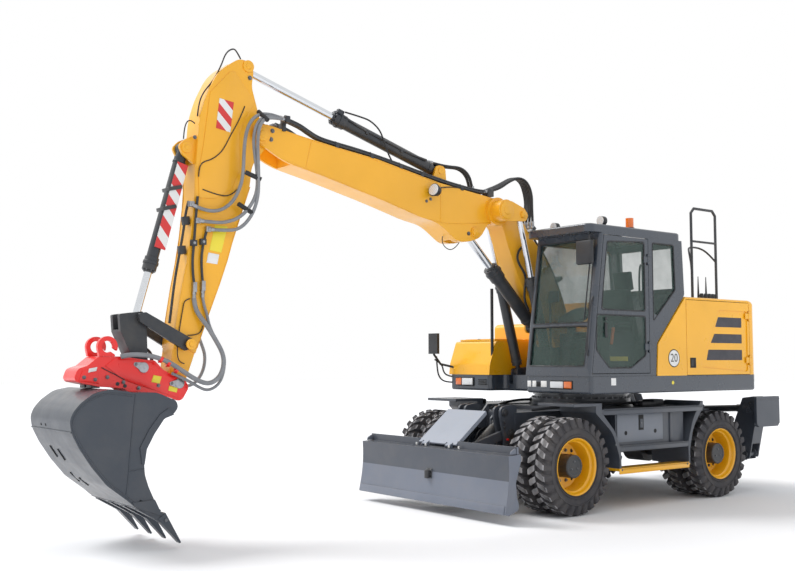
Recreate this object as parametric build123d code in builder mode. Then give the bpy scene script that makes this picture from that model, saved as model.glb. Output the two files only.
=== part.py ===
"""Wheeled excavator with a two-piece boom, dozer blade, rear outriggers and a quick-coupled bucket.

Millimetres. +X forward, +Y left, +Z up. The origin is on the ground under the slewing axis.
"""
from build123d import *
from math import atan2, cos, hypot, pi, radians, sin, tan
import os

os.makedirs("parts", exist_ok=True)

# --- wheels and axles -------------------------------------------------------------------
FRONT_AXLE_X = 1420
REAR_AXLE_X = -1120
AXLE_Z = 520
TYRE_TIP_R = 520
CARCASS_R = 494
TYRE_WIDTH = 268
BEAD_WIDTH = 226
RIM_R = 290
RIM_WALL = 24
FLANGE_R = 304
OUTER_TYRE_Y = 1115
INNER_TYRE_Y = 800
HUB_R = 125
HUB_FACE_Y = 1195
HUB_BACK_Y = 800
DISC_Y = 985
DISC_T = 26
SPINDLE_R = 60
SPINDLE_END_Y = 1090
KINGPIN_Y = 720
KINGPIN_R = 32
EAR_GAP = 5
FIT = 0.08          # radial running clearance of a pin in its bore
SEAT = 0.3          # clearance of a piece that only rests against another
NECK = 35           # a cylinder's tube starts this far beyond its eye

# --- chassis ----------------------------------------------------------------------------
FRAME_HALF = 380
FRAME_Z0 = 700
FRAME_Z1 = 1060
TURRET_R = 590
RACE_Z1 = 1232
DECK_Z = 1278
SIDE_Y = 1225

# --- upper structure --------------------------------------------------------------------
PLATFORM_TOP = 1470
HALF_WIDTH = 1250
TAIL_X = -1870
CAB_Y0 = 262
CAB_Y1 = 1240
CAB_WALL = 45
PILLAR = 70
DOOR_GAP = 7
HOOD_TOP = 2400
LIFT_HOLE = (-1930, 600, 40)      # x, y, height of the counterweight's lifting-eye bosses
LIFT_HOLE_R = 18
LIFT_BOSS_R = 45
SHEET = 30
HINGE_R = 12
HINGE_PIN_R = 6
HINGE_H = 70
HINGE_OUT = 5

# --- boom pivots, as (x, z) in the boom plane --------------------------------------------
BOOM_Y = -120
FOOT = (250, 1760)
KNUCKLE = (1455, 3380)
LIFT_BASE = (690, 1500)
LIFT_EYE = (1195, 3352)
ADJUST_BASE = (700, 2050)
ADJUST_EYE = (1785, 3115)
STICK_PIVOT = (4600, 3870)
STICK_CYL_BASE = (2230, 3790)
STICK_CYL_EYE = (4739, 4537)
BUCKET_CYL_BASE = (5365, 3655)
LEVER_PIVOT = (5347, 1796)
LEVER_EYE = (5808, 2036)
TIP_PIN = (5445, 1433)
LINK_PIN = (5785, 1580)
BUCKET_BAR = (5680, 1246)
LIFT_OFFSET = 265
HOOK = (6125, 1768)      # centre of each load hook's ring
HOOK_R = 92
HOOK_EYE_R = 52
HOOK_T = 40
HOOK_Y = 136
HOOK_SEAT_Z = 1682
THROAT = 215             # direction of the hook's opening, degrees from +X towards +Z
THROAT_HALF = 20
BOOM_HALF = 162
STICK_HALF = 126
BUCKET_HALF = 500


# --- small makers, called inside a part's block ------------------------------------------
def slab(points, y, width, corner=0.0, mode=Mode.ADD):
    """A plate centred on y; its outline has (x, z) points, or (x, z, radius) where a corner is round."""
    places = [point[:2] for point in points]
    radii = [point[2] if len(point) > 2 else corner for point in points]
    with BuildSketch(Plane.XZ.offset(-y)) as profile:
        with BuildLine():
            if any(radii):
                FilletPolyline(*places, radius=radii, close=True)
            else:
                Polyline(*places, close=True)
        make_face()
    return extrude(profile.sketch, width / 2, both=True, mode=mode)


def flowing(points, share=0.42, most=900):
    """The outline's points with each corner rounded as far as its shorter side allows."""
    corners = []
    for before, here, after in zip(points[-1:] + points[:-1], points, points[1:] + points[:1]):
        into = hypot(here[0] - before[0], here[1] - before[1])
        out = hypot(after[0] - here[0], after[1] - here[1])
        turn = abs(atan2(after[1] - here[1], after[0] - here[0]) - atan2(here[1] - before[1],
                                                                         here[0] - before[0]))
        turn = min(turn, 2 * pi - turn)
        corners.append((here[0], here[1], min(most, share * min(into, out) / max(tan(turn / 2), 0.01))))
    return corners


def spike(root, tip, y, root_size, tip_size):
    """A tapered tooth between two (x, z) points, with its (width, height) at each end."""
    way = Vector(tip[0] - root[0], 0, tip[1] - root[1])
    sections = []
    for place, size in ((root, root_size), (tip, tip_size)):
        with BuildSketch(Plane(origin=(place[0], y, place[1]), x_dir=(0, 1, 0), z_dir=way)) as section:
            Rectangle(*size)
        sections.append(section.sketch)
    loft(sections)


def tube(points, radius):
    """A bent tube through (x, y, z) points, with a ball in each bend."""
    for start, end in zip(points[:-1], points[1:]):
        bar(start, end, radius)
    for bend in points[1:-1]:
        with Locations(bend):
            Sphere(radius)


def bar(start, end, radius, mode=Mode.ADD):
    """A round bar between two (x, y, z) points."""
    way = Vector(*end) - Vector(*start)
    with BuildSketch(Plane(origin=start, z_dir=way)) as profile:
        Circle(radius)
    return extrude(profile.sketch, way.length, mode=mode)


def pin(x, z, y0, y1, radius, mode=Mode.ADD):
    """A round pin along Y from y0 to y1."""
    return bar((x, y0, z), (x, y1, z), radius, mode=mode)


def block(x0, x1, y0, y1, z0, z1, mode=Mode.ADD):
    """A box between two corners."""
    with Locations(((x0 + x1) / 2, (y0 + y1) / 2, (z0 + z1) / 2)):
        return Box(abs(x1 - x0), abs(y1 - y0), abs(z1 - z0), mode=mode)


def along(base, tip, distance):
    """The (x, z) point at a distance from base towards tip."""
    span = hypot(tip[0] - base[0], tip[1] - base[1])
    part = distance / span
    return (base[0] + (tip[0] - base[0]) * part, base[1] + (tip[1] - base[1]) * part)


def barrel(base, tip, y, length, radius, rod_r, eye_r, eye_w, pin_r):
    """A cylinder barrel hinged at base, with its head and a bore for the rod."""
    end = along(base, tip, length)
    collar = along(base, tip, length - 2.2 * radius)
    neck = along(base, tip, eye_r + NECK)
    floor = along(base, tip, eye_r + NECK + 20)
    bar((base[0], y, base[1]), (neck[0], y, neck[1]), min(radius - 4, eye_w / 2 - 2))
    bar((neck[0], y, neck[1]), (end[0], y, end[1]), radius)
    bar((collar[0], y, collar[1]), (end[0], y, end[1]), radius * 1.18)
    pin(base[0], base[1], y - eye_w / 2, y + eye_w / 2, eye_r)
    bar((floor[0], y, floor[1]), (end[0], y, end[1]), rod_r + FIT, mode=Mode.SUBTRACT)
    pin(base[0], base[1], y - eye_w, y + eye_w, pin_r + FIT, mode=Mode.SUBTRACT)


def rod(base, tip, y, start, rod_r, eye_r, eye_w):
    """A piston rod from a distance along the barrel to its eye at tip."""
    foot = along(base, tip, start)
    bar((foot[0], y, foot[1]), (tip[0], y, tip[1]), rod_r)
    pin(tip[0], tip[1], y - eye_w / 2, y + eye_w / 2, eye_r)


def leaf_hinge(x, face, z, side):
    """A vertical hinge's knuckle and strap on a door whose outer face is at y = side * face."""
    block(x - 22, x + 22, side * (face - 60), side * (face + 30), z - HINGE_H / 2 - 28,
          z + HINGE_H / 2 + 28,
          mode=Mode.SUBTRACT)
    axis_y = side * (face + HINGE_OUT)
    bar((x, axis_y, z - HINGE_H / 2), (x, axis_y, z + HINGE_H / 2), HINGE_R)
    block(x, x + 70, side * (face - 6), side * (face + 8), z - HINGE_H / 2, z + HINGE_H / 2)
    bar((x, axis_y, z - HINGE_H), (x, axis_y, z + HINGE_H), HINGE_PIN_R + FIT, mode=Mode.SUBTRACT)


def frame_hinge(x, face, z, side):
    """The same hinge's pin on the frame, held by a tab above and below the knuckle."""
    axis_y = side * (face + HINGE_OUT)
    bar((x, axis_y, z - HINGE_H / 2 - 20), (x, axis_y, z + HINGE_H / 2 + 20), HINGE_PIN_R)
    for end in (-1, 1):
        block(x - 50, x + 8, side * (face - 6), side * (face + 14), z + end * (HINGE_H / 2 + 4),
              z + end * (HINGE_H / 2 + 22))


# === WHEELS ==============================================================================
TYRE_PROFILE = (  # y from the tyre's centre, radius
    (-BEAD_WIDTH / 2, RIM_R + SEAT),
    (-TYRE_WIDTH / 2, RIM_R + 90),
    (-TYRE_WIDTH / 2, CARCASS_R - 45),
    (-TYRE_WIDTH / 2 + 22, TYRE_TIP_R),
    (TYRE_WIDTH / 2 - 22, TYRE_TIP_R),
    (TYRE_WIDTH / 2, CARCASS_R - 45),
    (TYRE_WIDTH / 2, RIM_R + 90),
    (BEAD_WIDTH / 2, RIM_R + SEAT),
)
BEAD_HALF = BEAD_WIDTH / 2
FLANGE_GAP = 5
FLANGE_T = 12
DRUM_R = 185
HAND_HOLES = 8
HAND_HOLE_R = 27
HAND_RING_R = 222
NUT_RING_R = 178
NUT_RING_T = 18
RIM_RINGS = (  # y0, y1, radius of the solid disc
    (INNER_TYRE_Y - BEAD_HALF - FLANGE_GAP, INNER_TYRE_Y + BEAD_HALF + FLANGE_GAP, RIM_R),
    (OUTER_TYRE_Y - BEAD_HALF - FLANGE_GAP, OUTER_TYRE_Y + BEAD_HALF + FLANGE_GAP, RIM_R),
    (INNER_TYRE_Y - BEAD_HALF - FLANGE_GAP - FLANGE_T, INNER_TYRE_Y - BEAD_HALF - FLANGE_GAP, FLANGE_R),
    (INNER_TYRE_Y + BEAD_HALF + FLANGE_GAP, INNER_TYRE_Y + BEAD_HALF + FLANGE_GAP + FLANGE_T, FLANGE_R),
    (OUTER_TYRE_Y - BEAD_HALF - FLANGE_GAP - FLANGE_T, OUTER_TYRE_Y - BEAD_HALF - FLANGE_GAP, FLANGE_R),
    (OUTER_TYRE_Y + BEAD_HALF + FLANGE_GAP, OUTER_TYRE_Y + BEAD_HALF + FLANGE_GAP + FLANGE_T, FLANGE_R),
    (INNER_TYRE_Y + BEAD_HALF, OUTER_TYRE_Y - BEAD_HALF, DRUM_R),
)
RIM_HOLLOWS = (  # y0, y1, radius of the dish cut into the wheel
    (INNER_TYRE_Y - BEAD_HALF - 50, INNER_TYRE_Y + BEAD_HALF - 20, RIM_R - RIM_WALL),
    (DISC_Y + DISC_T, OUTER_TYRE_Y + BEAD_HALF + 50, RIM_R - RIM_WALL),
)


def wheel_tyres(x, side):
    """The twin tyres of one wheel."""
    for centre in (INNER_TYRE_Y, OUTER_TYRE_Y):
        with BuildSketch(Plane(origin=(x, side * centre, AXLE_Z), x_dir=(0, 1, 0),
                               z_dir=(1, 0, 0))) as ring:
            with BuildLine():
                Polyline(*TYRE_PROFILE, close=True)
            make_face()
        revolve(ring.sketch, Axis((x, 0, AXLE_Z), (0, 1, 0)), 360)


def wheel_rims(x, side):
    """The twin rims with their discs and the hub."""
    for y0, y1, radius in RIM_RINGS:
        pin(x, AXLE_Z, side * y0, side * y1, radius)
    for y0, y1, radius in RIM_HOLLOWS:
        pin(x, AXLE_Z, side * y0, side * y1, radius, mode=Mode.SUBTRACT)
    with Locations(Plane(origin=(x, side * (DISC_Y + DISC_T / 2), AXLE_Z), z_dir=(0, 1, 0))):
        with PolarLocations(HAND_RING_R, HAND_HOLES):
            Cylinder(HAND_HOLE_R, 3 * DISC_T, mode=Mode.SUBTRACT)
    pin(x, AXLE_Z, side * (DISC_Y - DISC_T), side * (DISC_Y + DISC_T + NUT_RING_T), NUT_RING_R)
    pin(x, AXLE_Z, side * HUB_BACK_Y, side * HUB_FACE_Y, HUB_R)
    pin(x, AXLE_Z, side * (HUB_BACK_Y - 10), side * SPINDLE_END_Y, SPINDLE_R + FIT, mode=Mode.SUBTRACT)


with BuildPart() as tyres_front_left:
    wheel_tyres(FRONT_AXLE_X, 1)
with BuildPart() as tyres_front_right:
    wheel_tyres(FRONT_AXLE_X, -1)
with BuildPart() as tyres_rear_left:
    wheel_tyres(REAR_AXLE_X, 1)
with BuildPart() as tyres_rear_right:
    wheel_tyres(REAR_AXLE_X, -1)
with BuildPart() as wheel_front_left:
    wheel_rims(FRONT_AXLE_X, 1)
with BuildPart() as wheel_front_right:
    wheel_rims(FRONT_AXLE_X, -1)
with BuildPart() as wheel_rear_left:
    wheel_rims(REAR_AXLE_X, 1)
with BuildPart() as wheel_rear_right:
    wheel_rims(REAR_AXLE_X, -1)

# === AXLES AND KNUCKLES ==================================================================
EAR_T = 40
KNUCKLE_HALF = 100
EAR_IN = KNUCKLE_HALF + EAR_GAP


def knuckle(side):
    """Steering knuckle: kingpin, housing and the wheel's spindle."""
    x = FRONT_AXLE_X
    block(x - 55, x + 55, side * (KINGPIN_Y - 60), side * (KINGPIN_Y + 74), AXLE_Z - KNUCKLE_HALF,
          AXLE_Z + KNUCKLE_HALF)
    bar((x, side * KINGPIN_Y, AXLE_Z - EAR_IN - EAR_T), (x, side * KINGPIN_Y, AXLE_Z + EAR_IN + EAR_T),
        KINGPIN_R)
    pin(x, AXLE_Z, side * KINGPIN_Y, side * (SPINDLE_END_Y - 1), SPINDLE_R)


with BuildPart() as knuckle_left:
    knuckle(1)
with BuildPart() as knuckle_right:
    knuckle(-1)

with BuildPart() as front_axle:
    pin(FRONT_AXLE_X, AXLE_Z, -KINGPIN_Y + 130, KINGPIN_Y - 130, 82)
    pin(FRONT_AXLE_X, AXLE_Z, -150, 150, 165)
    block(FRONT_AXLE_X - 110, FRONT_AXLE_X + 76, -170, 170, AXLE_Z + 100, FRAME_Z0)
    for side in (-1, 1):
        block(FRONT_AXLE_X - 50, FRONT_AXLE_X + 50, side * (KINGPIN_Y - 165), side * (KINGPIN_Y - 120),
              AXLE_Z - EAR_IN - EAR_T, AXLE_Z + EAR_IN + EAR_T)
        for level in (-1, 1):
            block(FRONT_AXLE_X - 50, FRONT_AXLE_X + 50, side * (KINGPIN_Y - 165), side * (KINGPIN_Y + 36),
                  AXLE_Z + level * EAR_IN, AXLE_Z + level * (EAR_IN + EAR_T))
        bar((FRONT_AXLE_X, side * KINGPIN_Y, AXLE_Z - 200), (FRONT_AXLE_X, side * KINGPIN_Y,
                                                             AXLE_Z + 200),
            KINGPIN_R + FIT, mode=Mode.SUBTRACT)

with BuildPart() as rear_axle:
    pin(REAR_AXLE_X, AXLE_Z, -HUB_BACK_Y + 5, HUB_BACK_Y - 5, 88)
    pin(REAR_AXLE_X, AXLE_Z, -SPINDLE_END_Y + 1, SPINDLE_END_Y - 1, SPINDLE_R)
    pin(REAR_AXLE_X, AXLE_Z, -150, 150, 170)
    block(REAR_AXLE_X - 110, REAR_AXLE_X + 110, -260, 260, AXLE_Z + 60, FRAME_Z0)

# === CHASSIS =============================================================================
OUTRIGGER_X0 = -2285
OUTRIGGER_X1 = -2085
OUTRIGGER_PIVOT = (930, 440)      # y, z
OUTRIGGER_EYE = (966, 1032)       # y, z
OUTRIGGER_BASE = (60, 985)       # y, z
ARM_PIVOT = (1600, 430)           # lower blade arm at the chassis, x, z
ARM_BLADE = (2230, 260)
LINK_PIVOT = (1560, 830)
LINK_BLADE = (2190, 660)
NOSE_PIN = (1650, 1075)           # upper corner of the chassis cheeks
BLADE_CYL_BASE = (1572, 940)
BLADE_CYL_EYE = (2200, 450)
ARM_Y = 300
BLADE_CYL_Y = 170
NOSE_X = 1500

NOSE_PLATE_T = 30
NOSE_PLATE = [
    (NOSE_X - 40, FRAME_Z1 + 60), (NOSE_X + 40, FRAME_Z1 + 90, 80),
    (NOSE_PIN[0] + 60, NOSE_PIN[1] + 50, 60),
    (NOSE_PIN[0] + 60, NOSE_PIN[1] - 60, 60), (LINK_PIVOT[0] + 90, LINK_PIVOT[1] - 60, 60),
    (ARM_PIVOT[0] + 80, ARM_PIVOT[1] - 60, 60), (ARM_PIVOT[0] - 70, ARM_PIVOT[1] - 50, 60),
    (NOSE_X + 30, FRAME_Z0 - 50, 80), (NOSE_X - 40, FRAME_Z0 - 10)]
with BuildPart() as chassis_frame:
    block(OUTRIGGER_X1 + 90, NOSE_X, -FRAME_HALF, FRAME_HALF, FRAME_Z0, FRAME_Z1)
    block(-600, 760, -640, 640, FRAME_Z0 + 20, FRAME_Z1 + 40)
    bar((0, 0, FRAME_Z1), (0, 0, RACE_Z1 - 40), TURRET_R + 15)
    bar((0, 0, RACE_Z1 - 45), (0, 0, RACE_Z1 - SEAT), TURRET_R - 20)
    for side in (-1, 1):
        for plate_y in (ARM_Y + 50, ARM_Y - 55):
            slab(NOSE_PLATE, side * plate_y, NOSE_PLATE_T)
        for hinge in (ARM_PIVOT, LINK_PIVOT):
            pin(hinge[0], hinge[1], side * (ARM_Y - 70), side * (ARM_Y + 80), 32)
        slab([(NOSE_X - 60, FRAME_Z1 - 20), (NOSE_X - 20, FRAME_Z1 + 85),
              (BLADE_CYL_BASE[0] + 50, BLADE_CYL_BASE[1] + 50),
              (BLADE_CYL_BASE[0] + 50, BLADE_CYL_BASE[1] - 60), (NOSE_X - 20, FRAME_Z0 + 100)],
              side * (BLADE_CYL_Y - 65), 26)
        pin(BLADE_CYL_BASE[0], BLADE_CYL_BASE[1], side * (BLADE_CYL_Y - 70), side * (ARM_Y - 50), 30)

    # rear cross beam with the outriggers' hinge ears and cylinder lugs
    block(OUTRIGGER_X0 + 30, OUTRIGGER_X1 - 30, -OUTRIGGER_PIVOT[0] + 90, OUTRIGGER_PIVOT[0] - 90, 350,
          505)
    block(OUTRIGGER_X1 - 31, OUTRIGGER_X1 + 90, -FRAME_HALF + 20, FRAME_HALF - 20, 400, 1000)
    for side in (-1, 1):
        for x0 in (OUTRIGGER_X0 + 24, OUTRIGGER_X1 - 48):
            with BuildSketch(Plane.YZ.offset(x0)) as ear:
                with BuildLine():
                    Polyline((side * 800, 350), (side * 960, 380), (side * 985, 440), (side * 960, 500),
                             (side * 800, 540), close=True)
                make_face()
            extrude(ear.sketch, 24)
            with BuildSketch(Plane.YZ.offset(x0)) as lug:
                with BuildLine():
                    Polyline((0, 500), (side * 60, 540), (side * 110, 940), (side * 110, 1030),
                             (0, 1030), close=True)
                make_face()
            extrude(lug.sketch, 24)
        bar((OUTRIGGER_X0 - 22, side * OUTRIGGER_PIVOT[0], OUTRIGGER_PIVOT[1]),
            (OUTRIGGER_X1 + 22, side * OUTRIGGER_PIVOT[0], OUTRIGGER_PIVOT[1]), 32)
        bar((OUTRIGGER_X0 + 26, side * OUTRIGGER_BASE[0], OUTRIGGER_BASE[1]),
            (OUTRIGGER_X1 - 26, side * OUTRIGGER_BASE[0], OUTRIGGER_BASE[1]), 24)

# === SIDE STEPS AND FENDERS ==============================================================
SHELF_Z = 1110
BOX_X0 = -500
BOX_X1 = 720
TREAD_Z = 700
STEP_Z = 455


def side_step(side):
    """Fenders, tool box, shelf, tread and the low step on one side."""
    mid = (SIDE_Y + 690) / 2
    deep = SIDE_Y - 690
    block(-795, 1010, side * 640, side * SIDE_Y, SHELF_Z - 35, SHELF_Z)
    slab([(1010, 1180), (1455, 1180), (1455, 1150), (1105, 1150), (1105, 1070, 30), (835, 850, 330),
          (730, 590, 300),
          (730, 425), (700, 425), (700, 640, 240), (800, 870, 330), (1010, 1075)], side * mid, deep)
    block(BOX_X0, BOX_X1 - 10, side * 690, side * (SIDE_Y - 70), TREAD_Z, SHELF_Z - 30)
    block(BOX_X0, BOX_X1, side * 690, side * SIDE_Y, TREAD_Z - 45, TREAD_Z)
    slab([(-795, 1165), (-795, SHELF_Z - 20, 60), (-600, 860, 420), (-529, 600, 240), (-529, 430),
          (-500, 430),
          (-500, TREAD_Z, 220), (-600, 960, 420), (-760, 1165)], side * mid, deep)
    block(-515, 735, side * (SIDE_Y - 190), side * SIDE_Y, STEP_Z - 30, STEP_Z)


with BuildPart() as side_steps:
    side_step(1)
    side_step(-1)

# === BLADE ===============================================================================
BLADE_HALF = 1250
COVER_AXIS = (2330, 726)          # hinge of the cover plate on the blade's top, x, z
COVER_TOP = (1885, 1080)
COVER_LENGTH = 569
COVER_HINGE_Y = 200
COVER_PIN_R = 8
with BuildPart() as blade_arms:
    for side in (-1, 1):
        slab([(ARM_PIVOT[0] - 62, ARM_PIVOT[1] - 40), (ARM_PIVOT[0] - 30, ARM_PIVOT[1] + 62),
              (ARM_PIVOT[0] + 50, ARM_PIVOT[1] + 55),
              (ARM_BLADE[0] + 45, ARM_BLADE[1] + 45), (ARM_BLADE[0] + 60, ARM_BLADE[1] - 20),
              (ARM_BLADE[0] + 10, ARM_BLADE[1] - 60),
              (ARM_PIVOT[0] + 20, ARM_PIVOT[1] - 62)], side * ARM_Y, 60)
        for hinge in (ARM_PIVOT, ARM_BLADE):
            pin(hinge[0], hinge[1], side * (ARM_Y - 60), side * (ARM_Y + 60), 32 + FIT,
                mode=Mode.SUBTRACT)
with BuildPart() as blade_links:
    for side in (-1, 1):
        slab([(LINK_PIVOT[0] - 50, LINK_PIVOT[1] - 20), (LINK_PIVOT[0] - 20, LINK_PIVOT[1] + 50),
              (LINK_PIVOT[0] + 40, LINK_PIVOT[1] + 40),
              (LINK_BLADE[0] + 40, LINK_BLADE[1] + 40), (LINK_BLADE[0] + 50, LINK_BLADE[1] - 20),
              (LINK_BLADE[0], LINK_BLADE[1] - 50),
              (LINK_PIVOT[0] + 10, LINK_PIVOT[1] - 55)], side * ARM_Y, 50)
        for hinge in (LINK_PIVOT, LINK_BLADE):
            pin(hinge[0], hinge[1], side * (ARM_Y - 60), side * (ARM_Y + 60), 32 + FIT,
                mode=Mode.SUBTRACT)
with BuildPart() as blade:
    slab([(2490, 113), (2425, 437, 1500), (2440, 690), (2270, 700, 14), (2262, 645), (2395, 640),
          (2385, 440, 700),
          (2300, 200), (2310, 144), (2440, 100)], 0, 2 * BLADE_HALF)
    for side in (-1, 1):
        slab([(2490, 113), (2425, 437), (2440, 690), (2270, 700), (2262, 640), (2340, 420), (2310, 144)],
             side * (BLADE_HALF - 10), 20)
        block(2290, 2315, side * 330, side * (BLADE_HALF - 10), 695, 775)
        for offset in (-50, 50):
            slab([(2400, 560), (2400, 700), (LINK_BLADE[0] - 30, LINK_BLADE[1] + 45),
                  (LINK_BLADE[0] - 50, LINK_BLADE[1] - 30),
                  (ARM_BLADE[0] - 50, ARM_BLADE[1] + 20), (ARM_BLADE[0] - 10, ARM_BLADE[1] - 55),
                  (2360, 180), (2400, 440)],
                 side * (ARM_Y + offset), 24)
        for hinge in (ARM_BLADE, LINK_BLADE):
            pin(hinge[0], hinge[1], side * (ARM_Y - 60), side * (ARM_Y + 72), 32)
            pin(hinge[0], hinge[1], side * (ARM_Y + 62), side * (ARM_Y + 76), 46)
        for offset in (-50, 50):
            slab([(2400, 540), (BLADE_CYL_EYE[0] - 40, BLADE_CYL_EYE[1] + 40),
                  (BLADE_CYL_EYE[0] - 50, BLADE_CYL_EYE[1] - 35),
                  (2400, 360)], side * (BLADE_CYL_Y + offset), 24)
    for side in (-1, 1):
        pin(COVER_AXIS[0], COVER_AXIS[1], side * (COVER_HINGE_Y - 54), side * (COVER_HINGE_Y + 54),
            COVER_PIN_R)
        for offset in (-50, 50):
            block(COVER_AXIS[0] - 12, COVER_AXIS[0] + 12, side * (COVER_HINGE_Y + offset) - 5,
                  side * (COVER_HINGE_Y + offset) + 5, 690, COVER_AXIS[1] + 12)


def cover_point(s, t):
    """Point of the blade's cover plate: s up along the plate from its hinge, t out from its middle."""
    span = hypot(COVER_TOP[0] - COVER_AXIS[0], COVER_TOP[1] - COVER_AXIS[1])
    ux = (COVER_TOP[0] - COVER_AXIS[0]) / span
    uz = (COVER_TOP[1] - COVER_AXIS[1]) / span
    return (COVER_AXIS[0] + s * ux + t * uz, COVER_AXIS[1] + s * uz - t * ux)


with BuildPart() as blade_cover:
    slab([cover_point(10, -10), cover_point(10, 10), cover_point(COVER_LENGTH, 10),
          cover_point(COVER_LENGTH, -10)], 0, 640)
    for side in (-1, 1):
        slab([cover_point(90, -9), cover_point(110, -32), cover_point(COVER_LENGTH - 14, -32),
              cover_point(COVER_LENGTH, -9)], side * 314, 12)
        pin(COVER_AXIS[0], COVER_AXIS[1], side * (COVER_HINGE_Y - 62), side * (COVER_HINGE_Y + 62), 34,
            mode=Mode.SUBTRACT)
        pin(COVER_AXIS[0], COVER_AXIS[1], side * (COVER_HINGE_Y - 40), side * (COVER_HINGE_Y + 40),
            COVER_PIN_R + 8)
        slab([cover_point(0, -6), cover_point(0, 10), cover_point(60, 10), cover_point(60, -6)],
             side * COVER_HINGE_Y, 80)
        pin(COVER_AXIS[0], COVER_AXIS[1], side * (COVER_HINGE_Y - 70), side * (COVER_HINGE_Y + 70),
            COVER_PIN_R + FIT,
            mode=Mode.SUBTRACT)

# === OUTRIGGERS ==========================================================================


PAD_Y = 1180              # inner face of the outriggers' foot pads
PAD_T = 35


def leg(side):
    """Outrigger leg: a channel open inwards, its boss, and the foot pad."""
    with BuildSketch(Plane.YZ.offset(OUTRIGGER_X0)) as cheek:
        with BuildLine():
            Polyline((side * 890, 400), (side * 985, 400), (side * 1070, 800), (side * 1070, 1187),
                     (side * 902, 1163),
                     (side * 774, 855), (side * 840, 520), close=True)
        make_face()
    extrude(cheek.sketch, OUTRIGGER_X1 - OUTRIGGER_X0)
    with BuildSketch(Plane.YZ.offset(OUTRIGGER_X0 + 22)) as inside:
        with BuildLine():
            Polyline((side * 700, 300), (side * 1000, 300), (side * 1040, 800), (side * 1040, 1240),
                     (side * 700, 1240),
                     close=True)
        make_face()
    extrude(inside.sketch, OUTRIGGER_X1 - OUTRIGGER_X0 - 44, mode=Mode.SUBTRACT)
    for rib_x in (-2300, -2070):
        block(rib_x - 12, rib_x + 12, side * 1060, side * (PAD_Y + 1), 900, 1100)
    block(-2312, -2058, side * 1068, side * (PAD_Y + 1), 980, 1010)
    slab([(-2430, 1187, 12), (-1920, 1187, 12), (-1920, 850), (-1965, 805), (-2385, 805), (-2430, 850)],
         side * (PAD_Y + PAD_T / 2), PAD_T)
    block(-2420, -1930, side * (PAD_Y - 34), side * (PAD_Y + 1), 1163, 1187)
    block(-2420, -1930, side * (PAD_Y - 26), side * (PAD_Y + 1), 812, 830)
    bar((OUTRIGGER_X0 - 30, side * OUTRIGGER_PIVOT[0], OUTRIGGER_PIVOT[1]),
        (OUTRIGGER_X1 + 30, side * OUTRIGGER_PIVOT[0], OUTRIGGER_PIVOT[1]), 32 + FIT, mode=Mode.SUBTRACT)


with BuildPart() as outrigger_left:
    leg(1)
with BuildPart() as outrigger_right:
    leg(-1)

OUT_X = (OUTRIGGER_X0 + OUTRIGGER_X1) / 2
OUT_TUBE = 790            # length of the outrigger barrel


def out_point(side, distance):
    """Point along the outrigger cylinder's axis."""
    run = OUTRIGGER_EYE[0] - OUTRIGGER_BASE[0]
    rise = OUTRIGGER_EYE[1] - OUTRIGGER_BASE[1]
    part = distance / hypot(run, rise)
    return (OUT_X, side * (OUTRIGGER_BASE[0] + run * part), OUTRIGGER_BASE[1] + rise * part)


def out_barrel(side):
    bar(out_point(side, 30), out_point(side, OUT_TUBE), 44)
    bar(out_point(side, OUT_TUBE - 90), out_point(side, OUT_TUBE), 50)
    bar((OUT_X - 38, side * OUTRIGGER_BASE[0], OUTRIGGER_BASE[1]),
        (OUT_X + 38, side * OUTRIGGER_BASE[0], OUTRIGGER_BASE[1]), 46)
    bar(out_point(side, 60), out_point(side, OUT_TUBE), 28 + FIT, mode=Mode.SUBTRACT)
    bar((OUT_X - 60, side * OUTRIGGER_BASE[0], OUTRIGGER_BASE[1]),
        (OUT_X + 60, side * OUTRIGGER_BASE[0], OUTRIGGER_BASE[1]),
        24 + FIT, mode=Mode.SUBTRACT)


def out_rod(side):
    eye = hypot(OUTRIGGER_EYE[0] - OUTRIGGER_BASE[0], OUTRIGGER_EYE[1] - OUTRIGGER_BASE[1])
    bar(out_point(side, 70), out_point(side, eye), 28)
    bar((OUT_X - 34, side * OUTRIGGER_EYE[0], OUTRIGGER_EYE[1]),
        (OUT_X + 34, side * OUTRIGGER_EYE[0], OUTRIGGER_EYE[1]), 40)


with BuildPart() as outrigger_barrel_left:
    out_barrel(1)
with BuildPart() as outrigger_barrel_right:
    out_barrel(-1)
with BuildPart() as outrigger_rod_left:
    out_rod(1)
with BuildPart() as outrigger_rod_right:
    out_rod(-1)

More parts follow.
